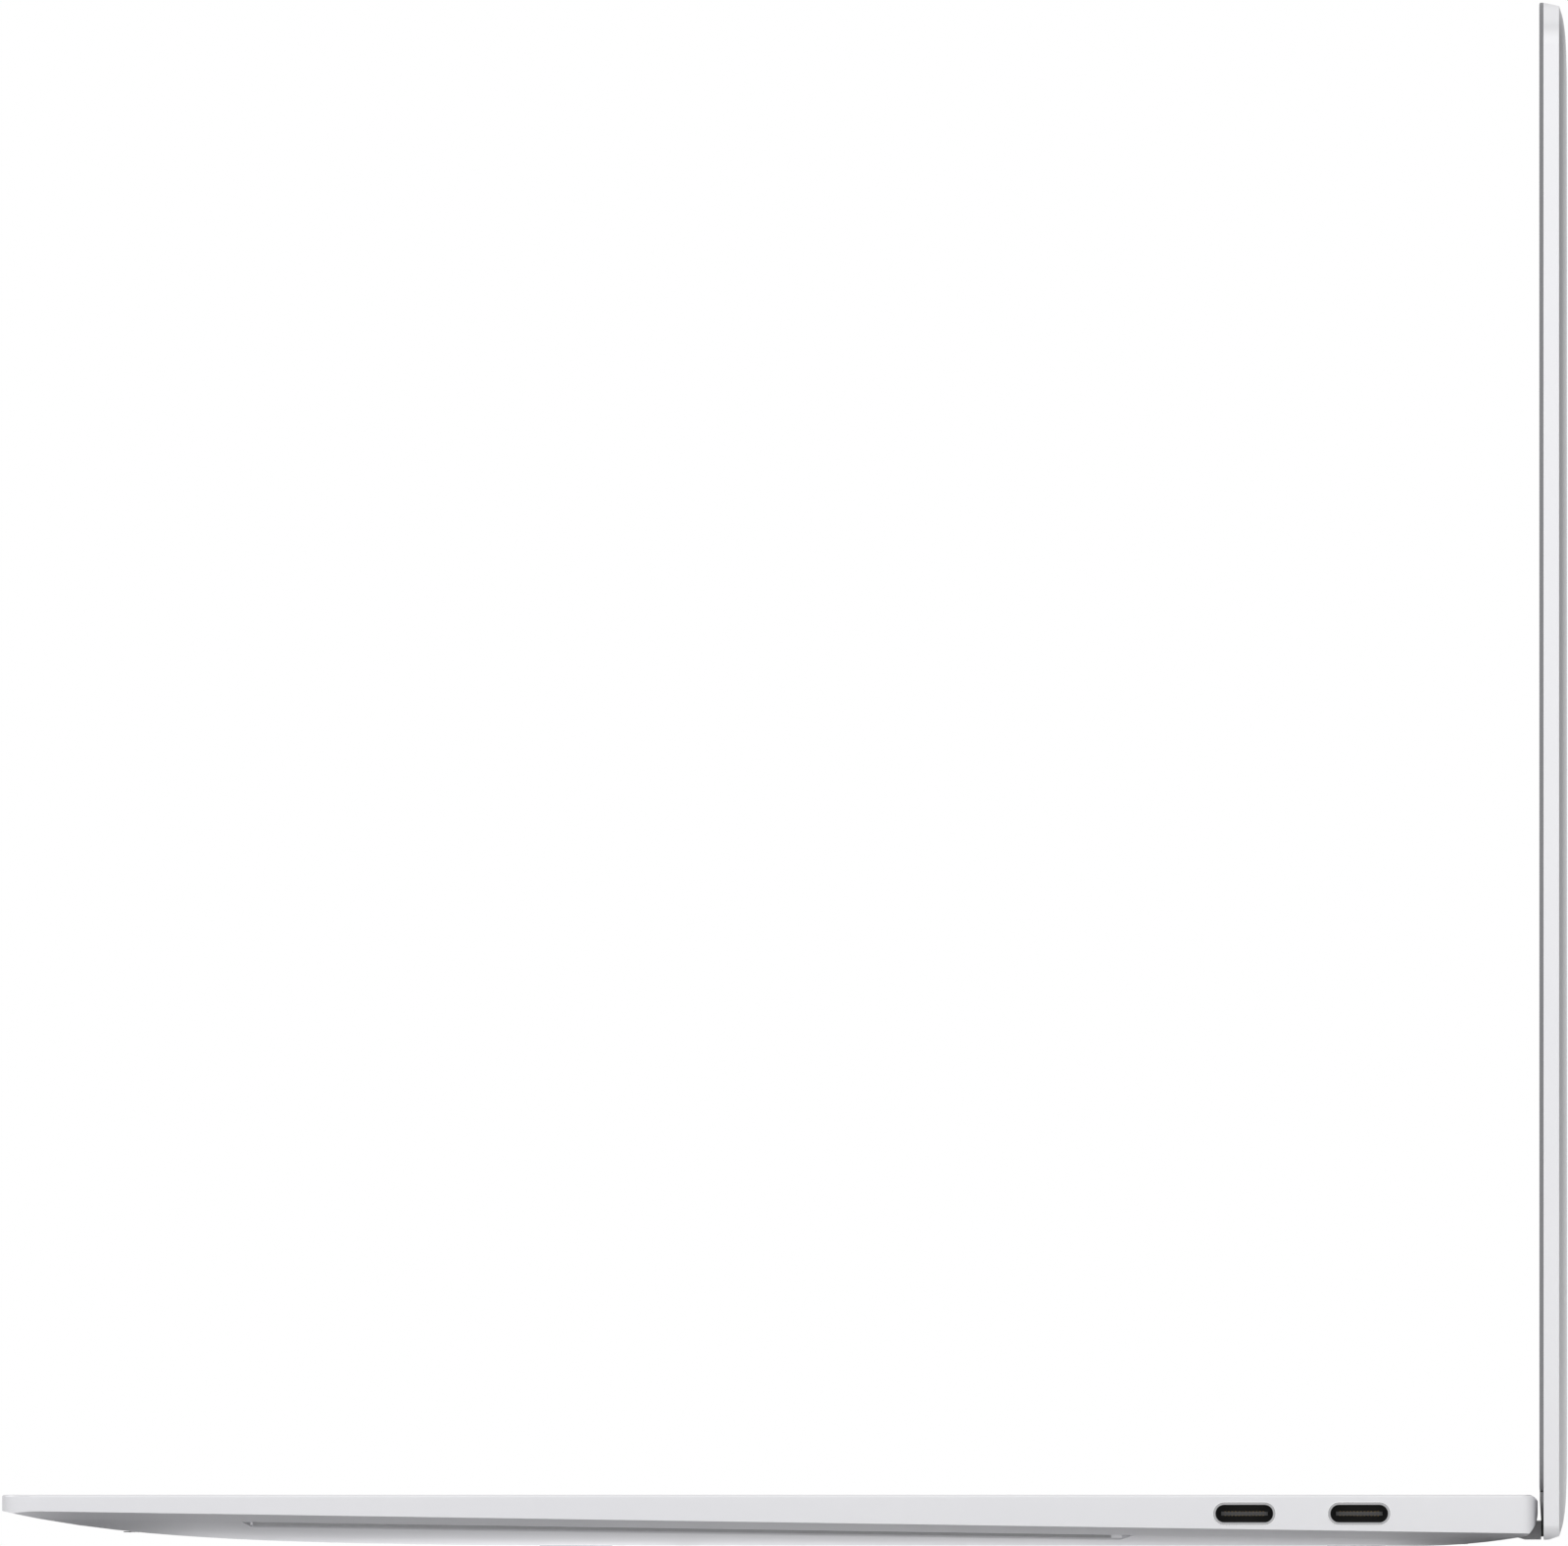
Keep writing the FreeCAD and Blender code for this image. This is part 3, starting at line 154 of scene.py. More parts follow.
def cover_glass():
    """Dark polished glass: the picture area is a touch lighter than the painted border."""
    material, tree, shader = new_material("cover_glass")
    low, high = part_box("display_panel")
    border = 3.0 * MM
    x, _, z = coordinates(tree)
    inside_x = close_to(tree, x, 0.0, high.x - border)
    inside_z = close_to(tree, z, (low.z + high.z) / 2, (high.z - low.z) / 2 - border)
    inside = calculate(tree, "MULTIPLY", inside_x, inside_z)
    faint = remap(tree, noise(tree, 30.0), 0.0, 1.0)
    picture = blend_colours(tree, faint, (0.012, 0.013, 0.017), (0.016, 0.017, 0.022))
    colour = blend_colours(tree, inside, (0.0035, 0.0035, 0.004), picture)
    tree.links.new(colour, shader.inputs["Base Color"])
    tree.links.new(remap(tree, noise(tree, 60.0, 4.0), 0.03, 0.07), shader.inputs["Roughness"])
    shader.inputs["Coat Weight"].default_value = 1.0
    shader.inputs["Coat Roughness"].default_value = 0.02
    return material


def brushed(name, light, dark, roughness, stretch):
    """Metal with fine lines along one axis."""
    material, tree, shader = new_material(name)
    shader.inputs["Metallic"].default_value = 1.0
    mapping = add_node(tree, "ShaderNodeMapping", {"Vector": object_point(tree), "Scale": stretch})
    lines = add_node(tree, "ShaderNodeTexNoise", {
        "Vector": mapping.outputs["Vector"], "Scale": 1.0, "Detail": 4.0}).outputs["Fac"]
    colour = blend_colours(tree, remap(tree, lines, 0.0, 1.0), light, dark)
    tree.links.new(colour, shader.inputs["Base Color"])
    tree.links.new(remap(tree, lines, roughness - 0.08, roughness + 0.08),
                   shader.inputs["Roughness"])
    add_bump(tree, shader, lines, 0.2, 0.01 * MM)
    return material


def port_finish():
    """Steel at the mouth of a port, painted shade in near black on the steel inside it, and a grey
    tongue.
    """
    material, tree, shader = new_material("port_metal")
    low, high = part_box("usb_c_right_front")
    rear_low, rear_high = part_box("usb_c_right_rear")
    lip = 0.12 * MM
    half_port = 4.47 * MM
    tongue_half_width = 3.4 * MM
    tongue_half_height = 0.30 * MM
    between_ports = (high.y + rear_low.y) / 2
    port_offset = (rear_high.y - low.y) / 2 - half_port
    x, y, z = coordinates(tree)
    # painted shade: past the lip the steel inside the port is coloured near black and not metallic,
    # as it looks in shadow
    deep = calculate(tree, "LESS_THAN", calculate(tree, "ABSOLUTE", x), high.x - lip)
    flat = close_to(tree, z, (low.z + high.z) / 2, tongue_half_height)
    aside = calculate(tree, "ABSOLUTE", calculate(tree, "SUBTRACT", y, between_ports))
    narrow = close_to(tree, aside, port_offset, tongue_half_width)
    tongue = calculate(tree, "MULTIPLY", flat, narrow)
    fine = noise(tree, 5000.0)
    steel = blend_colours(tree, fine, (0.48, 0.48, 0.49), (0.44, 0.44, 0.45))
    plastic = blend_colours(tree, fine, (0.11, 0.11, 0.112), (0.09, 0.09, 0.092))
    # painted shade: the near-black colour stands in for the shadow inside the port
    inside = blend_colours(tree, tongue, (0.006, 0.006, 0.006), plastic)
    tree.links.new(blend_colours(tree, deep, steel, inside), shader.inputs["Base Color"])
    tree.links.new(remap(tree, deep, 1.0, 0.0, 0.0, 1.0), shader.inputs["Metallic"])
    tree.links.new(remap(tree, fine, 0.35, 0.5), shader.inputs["Roughness"])
    return material


def bezel_finish():
    """Grey that darkens to black beside the hinge, with a black line under the glass."""
    material, tree, shader = new_material("bezel_moulding")
    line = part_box("lower_bezel")[1].z - 0.4 * MM
    blur = 0.01 * MM
    height = coordinates(tree)[2]
    above_hinge = remap(tree, height, 0.0, 1.0, DECK - 4.5 * MM, DECK - 1.0 * MM)
    below_line = remap(tree, height, 0.0, 1.0, line + blur, line - blur)
    light = calculate(tree, "MULTIPLY", above_hinge, below_line)
    fine = noise(tree, 5000.0)
    grey = blend_colours(tree, fine, (0.42, 0.42, 0.43), (0.38, 0.38, 0.39))
    colour = blend_colours(tree, light, (0.004, 0.004, 0.004), grey)
    tree.links.new(colour, shader.inputs["Base Color"])
    tree.links.new(remap(tree, fine, 0.5, 0.6), shader.inputs["Roughness"])
    return material


def board_mask():
    """Green solder mask with faint straight tracks."""
    material, tree, shader = new_material("board_mask")
    brick = add_node(tree, "ShaderNodeTexBrick", {
        "Vector": object_point(tree), "Scale": 260.0, "Mortar Size": 0.06,
        "Color1": (0.010, 0.060, 0.035, 1), "Color2": (0.014, 0.075, 0.045, 1),
        "Mortar": (0.030, 0.130, 0.075, 1)})
    tree.links.new(brick.outputs["Color"], shader.inputs["Base Color"])
    tree.links.new(remap(tree, noise(tree, 900.0), 0.3, 0.45), shader.inputs["Roughness"])
    add_bump(tree, shader, brick.outputs["Fac"], 0.3, 0.03 * MM)
    return material


def make_materials():
    return {
        "anodised": grained("anodised_aluminium", (0.79, 0.79, 0.805), (0.765, 0.765, 0.785),
                            0.85, 0.33, 9000.0, 0.006 * MM),
        "bottom": grained("bottom_aluminium", (0.74, 0.74, 0.755), (0.715, 0.715, 0.735),
                          0.85, 0.33, 9000.0, 0.006 * MM),
        "touchpad": grained("touchpad_coat", (0.66, 0.66, 0.675), (0.64, 0.64, 0.66),
                            0.35, 0.38, 12000.0, 0.002 * MM),
        "keys": grained("key_plastic", (0.030, 0.030, 0.033), (0.024, 0.024, 0.027),
                        0.0, 0.52, 7000.0, 0.02 * MM, 60.0),
        "legend": grained("legend_ink", (0.78, 0.78, 0.79), (0.72, 0.72, 0.73),
                          0.0, 0.5, 4000.0, 0.002 * MM),
        "hinge": grained("hinge_cover_paint", (0.62, 0.62, 0.63), (0.58, 0.58, 0.59),
                         0.5, 0.42, 6000.0, 0.01 * MM),
        "black": grained("black_moulding", (0.022, 0.022, 0.024), (0.016, 0.016, 0.018),
                         0.0, 0.55, 5000.0, 0.02 * MM),
        "rubber": grained("foot_rubber", (0.40, 0.40, 0.41), (0.36, 0.36, 0.37),
                          0.0, 0.8, 3500.0, 0.05 * MM),
        "seal": grained("seal_rubber", (0.24, 0.24, 0.25), (0.21, 0.21, 0.22),
                        0.0, 0.62, 4000.0, 0.02 * MM),
        # painted shade: a mid grey for the strip that darkens the long recess under each side
        "strip": grained("recess_painted_shade", (0.52, 0.52, 0.53), (0.48, 0.48, 0.49),
                         0.0, 0.62, 4000.0, 0.02 * MM),
        "film": grained("battery_film", (0.03, 0.03, 0.034), (0.02, 0.02, 0.023),
                        0.1, 0.35, 1500.0, 0.03 * MM, 90.0),
        "epoxy": grained("chip_epoxy", (0.028, 0.028, 0.03), (0.02, 0.02, 0.022),
                         0.0, 0.6, 5000.0, 0.02 * MM),
        "steel": brushed("plain_steel", (0.60, 0.60, 0.61), (0.50, 0.50, 0.51), 0.32,
                         (400.0, 9000.0, 9000.0)),
        "port": port_finish(),
        "rim": grained("cut_bright_edge", (0.86, 0.86, 0.87), (0.82, 0.82, 0.83),
                       1.0, 0.3, 6000.0, 0.002 * MM),
        "copper": brushed("bare_copper", (0.80, 0.42, 0.27), (0.68, 0.34, 0.21), 0.3,
                          (9000.0, 700.0, 9000.0)),
        "gold": grained("contact_gold", (0.86, 0.62, 0.28), (0.80, 0.56, 0.24),
                        1.0, 0.3, 5000.0, 0.003 * MM),
        "glass": cover_glass(),
        "bezel": bezel_finish(),
        "board": board_mask(),
    }


NODE_FINISH = {
    "anodised": ("top_case", "keyboard_frame", "lid_shell", "speaker_grille_left",
                 "speaker_grille_right"),
    "bottom": ("bottom_cover",),
    "touchpad": ("touchpad",),
    "keys": ("key_escape", "function_keys", "number_keys", "key_backspace", "key_tab",
             "upper_letter_keys", "key_caps_lock", "home_letter_keys", "key_enter",
             "key_left_shift", "lower_letter_keys", "key_right_shift", "modifier_keys",
             "key_space", "arrow_keys", "power_button"),
    "hinge": ("hinge_cover",),
    "bezel": ("lower_bezel",),
    "black": ("speaker_left", "speaker_right", "battery_tray", "webcam",
              "fan_housing_left", "fan_housing_right", "fan_rotor_left", "fan_rotor_right",
              "display_panel"),
    "rubber": ("front_foot", "rear_foot", "display_gasket"),
    "film": ("battery_cells",),
    "epoxy": ("board_chips", "ssd"),
    "steel": ("bottom_screws", "keyboard_plate", "touchpad_bracket", "hinge_bracket_left",
              "hinge_bracket_right", "hinge_arm_left", "hinge_arm_right", "hinge_screws_base",
              "hinge_screws_lid"),
    "port": ("usb_c_left_front", "usb_c_left_rear", "usb_c_right_front", "usb_c_right_rear"),
    "copper": ("cold_plate", "heat_pipe", "heat_sink_fins"),
    "glass": ("display_glass",),
    "board": ("motherboard", "wifi_card"),
}


def dress(piece, material):
    if not piece.data.materials:
        piece.data.materials.append(material)
    for slot in piece.material_slots:
        slot.material = material


# Mesh helpers


def add_piece(name, mesh, material, body):
    piece = bpy.data.objects.new(name, mesh)
    bpy.context.scene.collection.objects.link(piece)
    dress(piece, material)
    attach(piece, body)
    return piece


def to_mesh(name, shape):
    bmesh.ops.recalc_face_normals(shape, faces=shape.faces)
    mesh = bpy.data.meshes.new(name)
    shape.to_mesh(mesh)
    shape.free()
    return mesh


def ring_points(half_wide, half_high, radius, steps):
    """Points round a rounded rectangle, centred on the origin."""
    points = []
    corners = ((1, 1), (-1, 1), (-1, -1), (1, -1))
    for quarter, (sign_u, sign_v) in enumerate(corners):
        for step in range(steps + 1):
            angle = math.pi / 2 * (quarter + step / steps)
            points.append((sign_u * (half_wide - radius) + radius * math.cos(angle),
                           sign_v * (half_high - radius) + radius * math.sin(angle)))
    return points


def loft_rings(shape, rings):
    """Joins rings of points one to the next, and the last back to the first."""
    loops = [[shape.verts.new(point) for point in ring] for ring in rings]
    count = len(loops[0])
    for number, loop in enumerate(loops):
        following = loops[(number + 1) % len(loops)]
        for index in range(count):
            after = (index + 1) % count
            shape.faces.new((loop[index], loop[after], following[after], following[index]))


def solid_between(shape, first_points, last_points):
    """A closed solid between two loops with the same number of points."""
    first = [shape.verts.new(point) for point in first_points]
    last = [shape.verts.new(point) for point in last_points]
    shape.faces.new(first)
    shape.faces.new(last)
    for index in range(len(first)):
        after = (index + 1) % len(first)
        shape.faces.new((first[index], first[after], last[after], last[index]))


def block(shape, low, high):
    """A closed box added to a mesh."""
    made = bmesh.ops.create_cube(shape, size=1.0)["verts"]
    low = Vector(low)
    high = Vector(high)
    extent = high - low
    for vert in made:
        vert.co = Vector(low[axis] + (vert.co[axis] + 0.5) * extent[axis] for axis in range(3))


# The pieces


def perforated_grille(side):
    """A thin metal strip with rows of small round holes."""
    low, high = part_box("speaker_grille_" + side)
    columns = 6
    pitch = (high.x - low.x) / columns
    rows = int((high.y - low.y) / pitch)
    step = (high.y - low.y) / rows
    shape = bmesh.new()
    for column in range(columns):
        for row in range(rows):
            centre = Vector((low.x + (column + 0.5) * pitch, low.y + (row + 0.5) * step, high.z))
            holed_tile(shape, centre, pitch, step)
    bmesh.ops.remove_doubles(shape, verts=shape.verts, dist=0.01 * MM)
    top = list(shape.faces)
    made = bmesh.ops.extrude_face_region(shape, geom=top, use_keep_orig=True)["geom"]
    sunk = [item for item in made if isinstance(item, bmesh.types.BMVert)]
    bmesh.ops.translate(shape, verts=sunk, vec=(0, 0, low.z - high.z))
    mesh = to_mesh("perforated_grille_" + side, shape)
    piece = add_piece("perforated_grille_" + side, mesh, materials["anodised"], "base")
    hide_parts("speaker_grille_" + side)
    acoustic_mesh(side, low, high)


def holed_tile(shape, centre, pitch, step):
    """A flat rectangle with an eight-sided hole in its middle."""
    corners = 8
    radius = 0.30 * pitch
    outer = []
    inner = []
    for corner in range(corners):
        angle = math.tau * corner / corners
        reach = 1.0 / max(abs(math.cos(angle)), abs(math.sin(angle)))
        edge = Vector((math.cos(angle) * reach * pitch / 2, math.sin(angle) * reach * step / 2, 0))
        hole = Vector((math.cos(angle) * radius, math.sin(angle) * radius, 0))
        outer.append(shape.verts.new(centre + edge))
        inner.append(shape.verts.new(centre + hole))
    for corner in range(corners):
        after = (corner + 1) % corners
        shape.faces.new((outer[corner], outer[after], inner[after], inner[corner]))


def acoustic_mesh(side, low, high):
    """A thin black cloth behind the holes of one grille."""
    inset = 0.3 * MM
    thickness = 0.06 * MM
    middle = (low + high) / 2
    half = (high - low) / 2
    outline = [(middle.x + u, middle.y + v)
               for u, v in ring_points(half.x - inset, half.y - inset, 0.5 * MM, 4)]
    shape = bmesh.new()
    solid_between(shape, [(x, y, low.z) for x, y in outline],
                  [(x, y, low.z - thickness) for x, y in outline])
    name = "acoustic_mesh_" + side
    add_piece(name, to_mesh(name, shape), materials["seal"], "base")


def port_details(node):
    low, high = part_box(node)
    side = 1 if high.x > 0 else -1
    centre_y = (low.y + high.y) / 2
    centre_z = (low.z + high.z) / 2
    half_wide = (high.y - low.y) / 2
    half_high = (high.z - low.z) / 2
    port_rim("rim_" + node, side, (centre_y, centre_z), (half_wide, half_high))
    port_contacts("contacts_" + node, side, centre_y, centre_z)


def port_rim(name, side, centre, half):
    """The bright cut edge round a port's mouth."""
    tighter = 0.02 * MM
    profile = ((0.02, -0.05), (0.02, 0.015), (0.07, 0.030), (0.15, 0.015), (0.18, -0.05))
    rings = []
    for grow, rise in profile:
        half_wide = half[0] + grow * MM
        half_high = half[1] + grow * MM
        points = ring_points(half_wide, half_high, half_high - tighter, 10)
        rings.append([(side * (SIDE_X + rise * MM), centre[0] + u, centre[1] + v)
                      for u, v in points])
    shape = bmesh.new()
    loft_rings(shape, rings)
    add_piece(name, to_mesh(name, shape), materials["rim"], "base")


def port_contacts(name, side, centre_y, centre_z):
    """Two rows of gilt contacts on the tongue of a port."""
    half_tongue = 0.275 * MM
    half_pad = 0.02 * MM
    pads = 12
    pitch = 0.5 * MM
    pad_width = 0.26 * MM
    ends = sorted((side * (SIDE_X - 2.5 * MM), side * (SIDE_X - 6.0 * MM)))
    shape = bmesh.new()
    for face in (-1, 1):
        level = centre_z + face * half_tongue
        for number in range(pads):
            left = centre_y + (number - pads / 2 + 0.5) * pitch - pad_width / 2
            block(shape, (ends[0], left, level - half_pad),
                  (ends[1], left + pad_width, level + half_pad))
    add_piece(name, to_mesh(name, shape), materials["gold"], "base")


def display_seal():
    """The thin rubber bead round the edge of the cover glass."""
    low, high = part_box("display_glass")
    centre_z = (low.z + high.z) / 2
    half_wide = (high.x - low.x) / 2
    half_high = (high.z - low.z) / 2
    front = low.y
    back = high.y
    corner = 5.7 * MM
    profile = ((-0.9, front), (-0.9, front - 0.04 * MM), (-0.5, front - 0.06 * MM),
               (0.1, front - 0.04 * MM), (0.3, front + 0.08 * MM), (0.3, back))
    rings = []
    for grow, y in profile:
        points = ring_points(half_wide + grow * MM, half_high + grow * MM, corner + grow * MM, 8)
        rings.append([(u, y, centre_z + v) for u, v in points])
    shape = bmesh.new()
    loft_rings(shape, rings)
    add_piece("display_seal", to_mesh("display_seal", shape), materials["seal"], "lid")


def webcam_window():
    """A dark ring on the glass, round the camera."""
    low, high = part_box("webcam")
    glass_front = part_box("display_glass")[0].y
    centre_z = (low.z + high.z) / 2
    steps = 32
    profile = ((1.0, 0.0), (1.0, 0.03), (1.25, 0.04), (1.4, 0.02), (1.4, 0.0))
    rings = []
    for radius, rise in profile:
        rings.append([(radius * MM * math.cos(math.tau * step / steps), glass_front - rise * MM,
                       centre_z + radius * MM * math.sin(math.tau * step / steps))
                      for step in range(steps)])
    shape = bmesh.new()
    loft_rings(shape, rings)
    add_piece("webcam_ring", to_mesh("webcam_ring", shape), materials["epoxy"], "lid")


def recess_shade_strip(side):
    """A grey strip of painted shade that lines the long recess under one side."""
    inner = SIDE_X - 8.6 * MM
    drop = 3.43 * MM
    slope = 0.01481
    outline = ((0.0, 0.0), (0.12, 0.0), (0.12, -0.36), (0.0, -0.44))
    ends = []
    for distance in (36.2 * MM, 160.4 * MM):
        top = DECK - drop - slope * distance
        ends.append([(side * (inner + x * MM), FRONT_Y + distance, top + z * MM)
                     for x, z in outline])
    shape = bmesh.new()
    solid_between(shape, ends[0], ends[1])
    name = "recess_strip_right" if side > 0 else "recess_strip_left"
    add_piece(name, to_mesh(name, shape), materials["strip"], "base")


def screw_socket_shade():
    """Dark six-lobed patches of painted shade in the heads of the screws under the base, standing
    in for their hollow sockets.
    """
    heads = {}
    apart = 10 * MM
    for vert in nodes["bottom_screws"].data.vertices:
        key = (round(vert.co.x / apart), round(vert.co.y / apart))
        heads.setdefault(key, []).append(vert.co)
    shape = bmesh.new()
    for points in heads.values():
        middle_x = (min(p.x for p in points) + max(p.x for p in points)) / 2
        middle_y = (min(p.y for p in points) + max(p.y for p in points)) / 2
        floor = min(p.z for p in points)
        outline = [(middle_x + u, middle_y + v) for u, v in lobed_outline()]
        solid_between(shape, [(x, y, floor - 0.02 * MM) for x, y in outline],
                      [(x, y, floor + 0.1 * MM) for x, y in outline])
    # painted shade: the sockets are coloured near black with the chip epoxy finish
    add_piece("screw_socket_shade", to_mesh("screw_socket_shade", shape), materials["epoxy"], "base")


def lobed_outline():
    """Points round a socket with six soft lobes."""
    lobes = 6
    steps = 36
    points = []
    for step in range(steps):
        angle = math.tau * step / steps
        radius = (0.85 + 0.13 * math.cos(lobes * angle)) * MM
        points.append((radius * math.cos(angle), radius * math.sin(angle)))
    return points


# Key legends: node, row from the front, first column, key width in columns, words

LEGENDS = (
    ("key_escape", 5, 0.0, 1.0, ("esc",)),
    ("function_keys", 5, 1.0, 1.0, ("F1", "F2", "F3", "F4", "F5", "F6", "F7", "F8", "F9", "F10",
                                    "F11", "F12", "del")),
    ("number_keys", 4, 0.0, 1.0, tuple("`1234567890-=")),
    ("key_backspace", 4, 13.0, 2.0, ("back",)),
    ("key_tab", 3, 0.0, 1.5, ("tab",)),
    ("upper_letter_keys", 3, 1.5, 1.0, tuple("QWERTYUIOP[]")),
    ("upper_letter_keys", 3, 13.5, 1.5, ("\\",)),
    ("key_caps_lock", 2, 0.0, 1.75, ("caps",)),
    ("home_letter_keys", 2, 1.75, 1.0, tuple("ASDFGHJKL;'")),
    ("key_enter", 2, 12.75, 2.25, ("enter",)),
    ("key_left_shift", 1, 0.0, 2.25, ("shift",)),
    ("lower_letter_keys", 1, 2.25, 1.0, tuple("ZXCVBNM,./")),
    ("key_right_shift", 1, 12.25, 2.75, ("shift",)),
    ("modifier_keys", 0, 0.0, 1.25, ("ctrl",)),
    ("modifier_keys", 0, 1.25, 1.0, ("fn", "sys")),
    ("modifier_keys", 0, 3.25, 1.25, ("alt",)),
    ("modifier_keys", 0, 10.0, 1.0, ("alt", "ctrl")),
)


def add_word(shape, text, centre_x, centre_y, height):
    """One word as a thin solid, centred on a point."""
    curve = bpy.data.curves.new("word", "FONT")
    curve.body = text
    curve.size = height
    curve.extrude = LEGEND_HALF_THICKNESS
    curve.align_x = "CENTER"
    curve.align_y = "CENTER"
    carrier = bpy.data.objects.new("word", curve)
    bpy.context.scene.collection.objects.link(carrier)
    bpy.context.view_layer.update()
    solid = bpy.data.meshes.new_from_object(
        carrier.evaluated_get(bpy.context.evaluated_depsgraph_get()))
    solid.transform(Matrix.Translation((centre_x, centre_y, LEGEND_LEVEL)))
    shape.from_mesh(solid)
    bpy.data.objects.remove(carrier)
    bpy.data.curves.remove(curve)
    bpy.data.meshes.remove(solid)


def add_triangle(shape, centre_x, centre_y, turn):
    """A small thin arrowhead that points along one of the four directions."""
    reach = 1.6 * MM
    angles = [turn + math.tau * step / 3 for step in range(3)]
    outline = [(centre_x + reach * math.cos(angle), centre_y + reach * math.sin(angle))
               for angle in angles]
    solid_between(shape, [(x, y, LEGEND_LEVEL - LEGEND_HALF_THICKNESS) for x, y in outline],
                  [(x, y, LEGEND_LEVEL + LEGEND_HALF_THICKNESS) for x, y in outline])


def key_legends():
    """Plain legends on the keys, one piece for each moving group."""
    letter_height = 4.6 * MM
    word_height = 3.0 * MM
    shapes = {}
    for node, row, column, width, words in LEGENDS:
        shape = shapes.setdefault(node, bmesh.new())
        deep = FUNCTION_PITCH if row == FUNCTION_ROW else ROW_PITCH
        centre_y = KEYS_FRONT + row * ROW_PITCH + deep / 2
        for number, word in enumerate(words):
            centre_x = KEYS_LEFT + (column + number + width / 2) * KEY_PITCH
            height = letter_height if len(word) == 1 else word_height
            add_word(shape, word, centre_x, centre_y, height)
    shapes["arrow_keys"] = arrow_legends()
    for node, shape in shapes.items():
        bmesh.ops.remove_doubles(shape, verts=shape.verts, dist=0.001 * MM)
        name = "legends_" + node
        add_piece(name, to_mesh(name, shape), materials["legend"], node + "_body")


def arrow_legends():
    """Arrowheads on the four arrow keys, which share the depth of one row."""
    shape = bmesh.new()
    lower = KEYS_FRONT + 0.26 * ROW_PITCH
    upper = KEYS_FRONT + 0.74 * ROW_PITCH
    quarter = math.pi / 2
    places = ((12, lower, 2 * quarter), (13, lower, 3 * quarter), (13, upper, quarter),
              (14, lower, 0.0))
    for column, centre_y, turn in places:
        add_triangle(shape, KEYS_LEFT + (column + 0.5) * KEY_PITCH, centre_y, turn)
    return shape


# The studio


def make_floor():
    shape = bmesh.new()
    bmesh.ops.create_circle(shape, cap_ends=True, segments=96, radius=1.0)
    mesh = bpy.data.meshes.new("floor")
    shape.to_mesh(mesh)
    shape.free()
    floor = bpy.data.objects.new("floor", mesh)
    bpy.context.scene.collection.objects.link(floor)
    mesh.materials.append(floor_finish())


def floor_finish():
    """A pale sweep that fades to white far out and glows softly under the laptop."""
    material, tree, shader = new_material("studio_floor")
    x, y, _ = coordinates(tree)
    glow = remap(tree, calculate(tree, "ABSOLUTE", x), 0.0, 1.0, 150 * MM, 90 * MM)
    for level in (remap(tree, y, 0.0, 1.0, -104 * MM, -84 * MM),
                  remap(tree, y, 1.0, 0.0, 86 * MM, 102 * MM),
                  remap(tree, y, 0.68, 1.62, -75 * MM, 75 * MM)):
        glow = calculate(tree, "MULTIPLY", glow, level)
    reach = add_node(tree, "ShaderNodeVectorMath", {"Vector": object_point(tree)},
                     operation="LENGTH")
    fade = remap(tree, reach.outputs["Value"], 0.0, 1.0, 0.4, 0.95)
    pale = blend_colours(tree, remap(tree, noise(tree, 3.0), 0.0, 1.0), (0.84, 0.84, 0.84),
                         (0.82, 0.82, 0.825))
    tone = blend_colours(tree, fade, pale, (0.0, 0.0, 0.0))
    tree.links.new(tone, shader.inputs["Base Color"])
    strength = calculate(tree, "MULTIPLY_ADD", glow, 1.35, fade)
    shader.inputs["Emission Color"].default_value = (1.0, 1.0, 1.0, 1.0)
    tree.links.new(strength, shader.inputs["Emission Strength"])
    shader.inputs["Roughness"].default_value = 0.8
    shader.inputs["Specular IOR Level"].default_value = 0.1
    return material


def backdrop(tree, strength, colour=(1.0, 1.0, 1.0, 1.0)):
    node = add_node(tree, "ShaderNodeBackground", {"Color": colour, "Strength": strength})
    return node.outputs[0]


def make_world():
    """White behind everything, and a soft light that comes from the right and the front."""
    world = bpy.data.worlds.new("studio")
    bpy.context.scene.world = world
    world.use_nodes = True
    tree = world.node_tree
    tree.nodes.clear()
    direction = add_node(tree, "ShaderNodeTexCoord").outputs["Generated"]
    split = add_node(tree, "ShaderNodeSeparateXYZ", {"Vector": direction})
    key = backdrop(tree, 1.0, tones_round_about(tree, direction))
    from_left = remap(tree, split.outputs["X"], 0.0, 0.55, -0.80, -1.0)
    around = add_node(tree, "ShaderNodeAddShader", {0: key, 1: backdrop(tree, from_left)})
    upward = remap(tree, split.outputs["Z"], 0.0, 1.0, 0.1, 0.5)
    light = add_node(tree, "ShaderNodeMixShader", {
        0: upward, 1: around.outputs[0], 2: backdrop(tree, 0.88)})
    path = add_node(tree, "ShaderNodeLightPath")
    mix = add_node(tree, "ShaderNodeMixShader", {
        0: path.outputs["Is Camera Ray"], 1: light.outputs[0], 2: backdrop(tree, 1.0)})
    add_node(tree, "ShaderNodeOutputWorld", {"Surface": mix.outputs[0]})


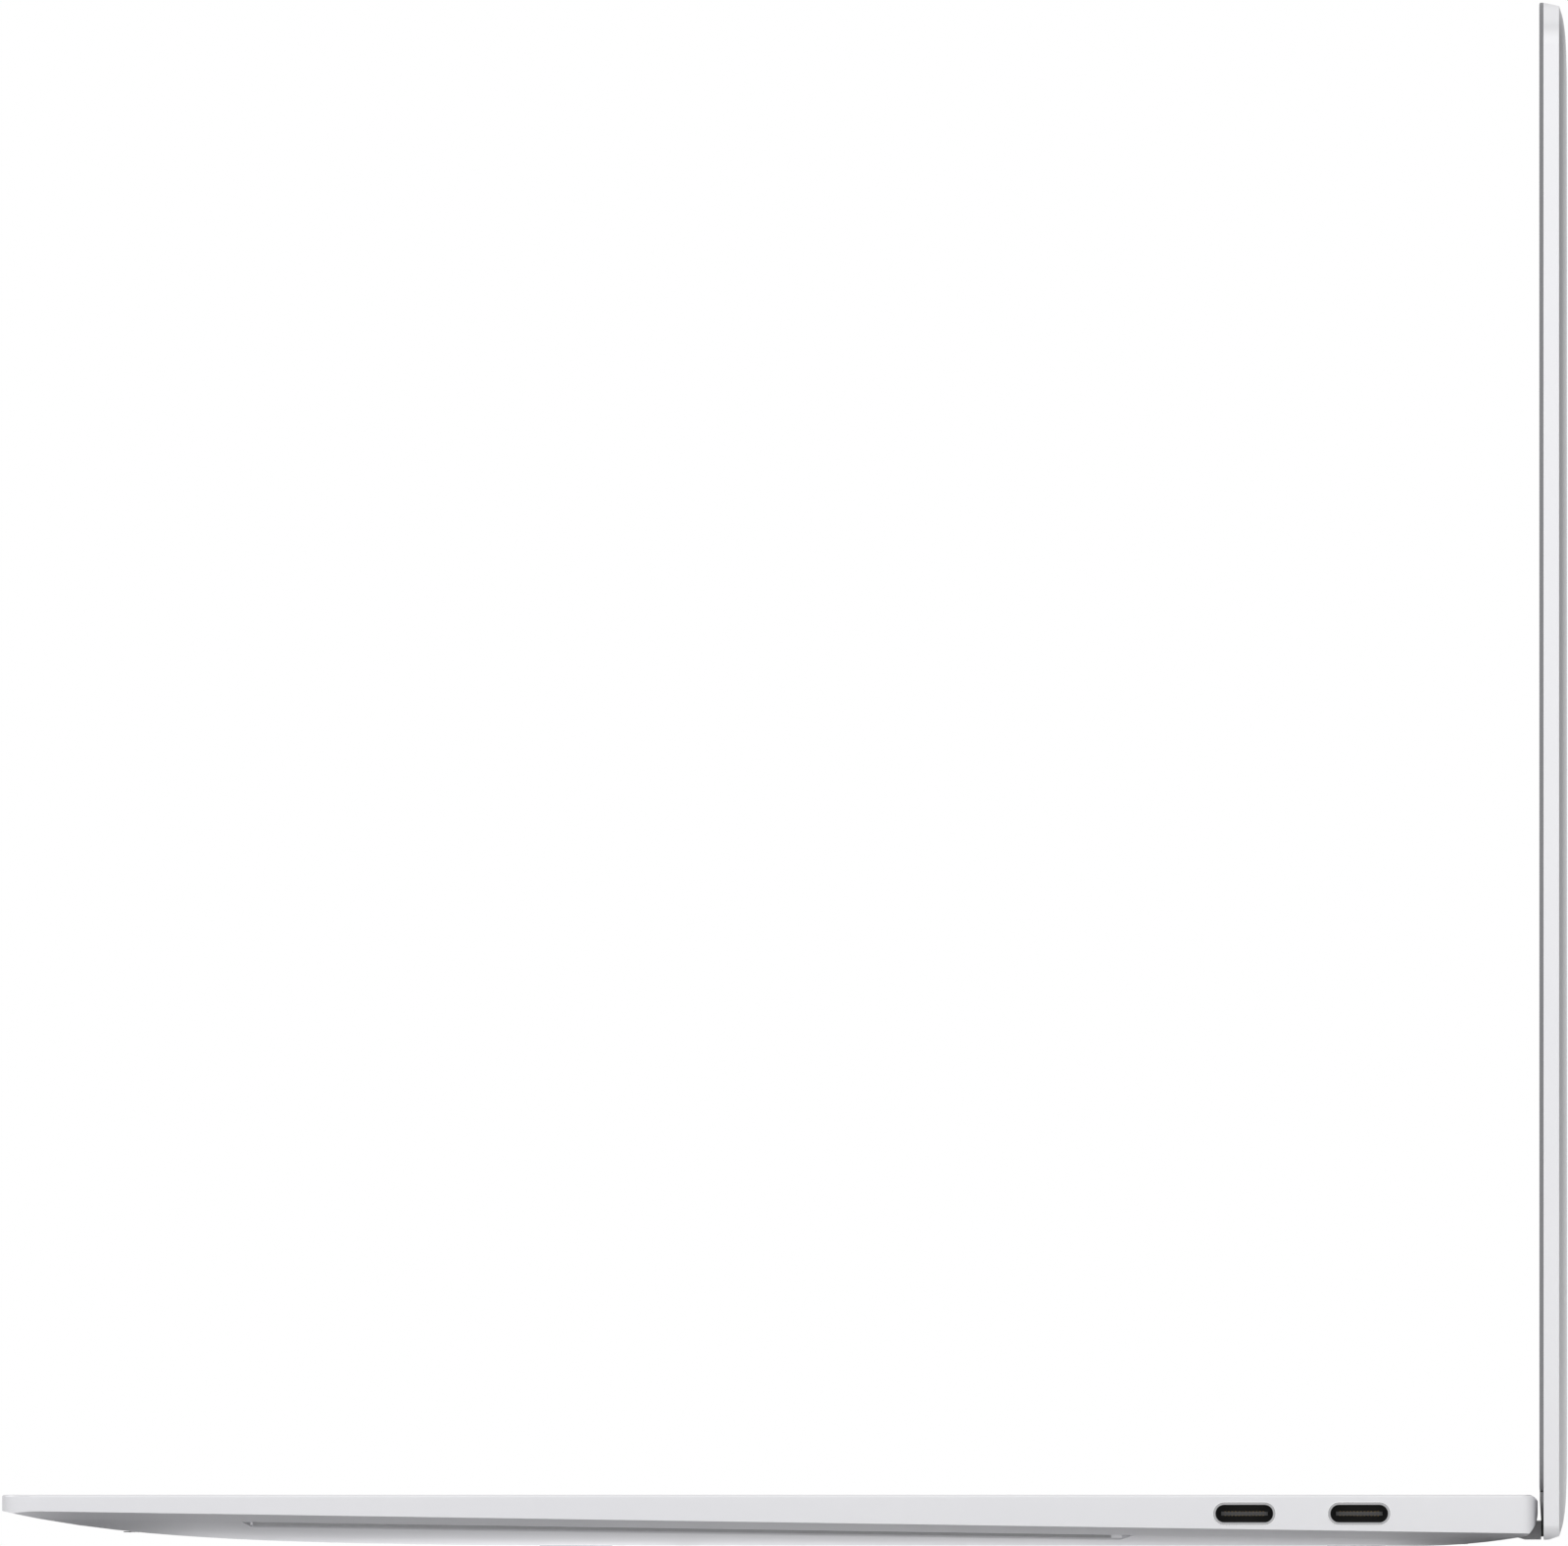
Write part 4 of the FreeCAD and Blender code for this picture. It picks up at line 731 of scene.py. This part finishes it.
def tones_round_about(tree, direction):
    """Bright towards the right and front of the laptop, dark behind it on the left."""
    towards = add_node(tree, "ShaderNodeVectorMath", {0: direction, 1: (0.8, -0.6, 0.0)},
                       operation="DOT_PRODUCT")
    spread = remap(tree, towards.outputs["Value"], 0.0, 1.0, -1.0, 1.0)
    ramp = add_node(tree, "ShaderNodeValToRGB", {"Fac": spread})
    tones = ((0.0, 0.12), (0.08, 0.24), (0.45, 0.74), (0.75, 1.09), (1.0, 1.2))
    elements = ramp.color_ramp.elements
    while len(elements) < len(tones):
        elements.new(0.5)
    for element, (place, tone) in zip(elements, tones):
        element.position = place
        element.color = (tone, tone, tone * 1.01, 1.0)
    return ramp.outputs["Color"]


def softbox(name, place, aim, width, height, power):
    data = bpy.data.lights.new(name, "AREA")
    data.shape = "RECTANGLE"
    data.size = width
    data.size_y = height
    data.energy = power
    lamp = bpy.data.objects.new(name, data)
    lamp.location = place
    lamp.rotation_mode = "QUATERNION"
    lamp.rotation_quaternion = (Vector(aim) - Vector(place)).to_track_quat("-Z", "Y")
    lamp.visible_camera = False
    bpy.context.scene.collection.objects.link(lamp)


def make_lights():
    softbox("right_box", (1.3, -0.3, 0.7), (0, 0, 0.05), 1.0, 0.8, 0.8)
    softbox("top_box", (0.0, -0.2, 1.6), (0, 0, 0), 2.0, 2.0, 2.0)
    softbox("front_box", (-0.5, -1.5, 0.9), (0, 0, 0.1), 1.0, 0.8, 1.5)
    softbox("back_box", (0.2, 1.5, 0.8), (0, 0.1, 0.1), 0.9, 0.7, 1.0)


def make_camera():
    """A very long lens looks at the right side; its level is the deck, its column the hinge."""
    data = bpy.data.cameras.new("camera")
    data.sensor_width = 36.0
    data.lens = 1600.0
    data.clip_start = 1.0
    data.clip_end = 30.0
    frame_width = 226.63 * MM
    distance = frame_width * data.lens / data.sensor_width
    hinge_y = FRONT_Y + 222.4 * MM
    middle_y = FRONT_Y + 113.17 * MM
    middle_z = DECK + 104.36 * MM
    place = Vector((SIDE_X + distance, hinge_y, DECK))
    aim = Vector((SIDE_X, middle_y, middle_z))
    camera = bpy.data.objects.new("camera", data)
    camera.location = place
    camera.rotation_mode = "QUATERNION"
    camera.rotation_quaternion = (aim - place).to_track_quat("-Z", "Y")
    bpy.context.scene.collection.objects.link(camera)
    bpy.context.scene.camera = camera


materials = make_materials()
for finish, members in NODE_FINISH.items():
    for member in members:
        dress(nodes[member], materials[finish])
for side in ("left", "right"):
    perforated_grille(side)
for node in NODE_FINISH["port"]:
    port_details(node)
# painted shade strips in the recesses under both sides
for side in (-1, 1):
    recess_shade_strip(side)
display_seal()
webcam_window()
screw_socket_shade()
key_legends()
make_floor()
make_world()
make_lights()
make_camera()
bpy.context.scene.view_settings.view_transform = "Standard"
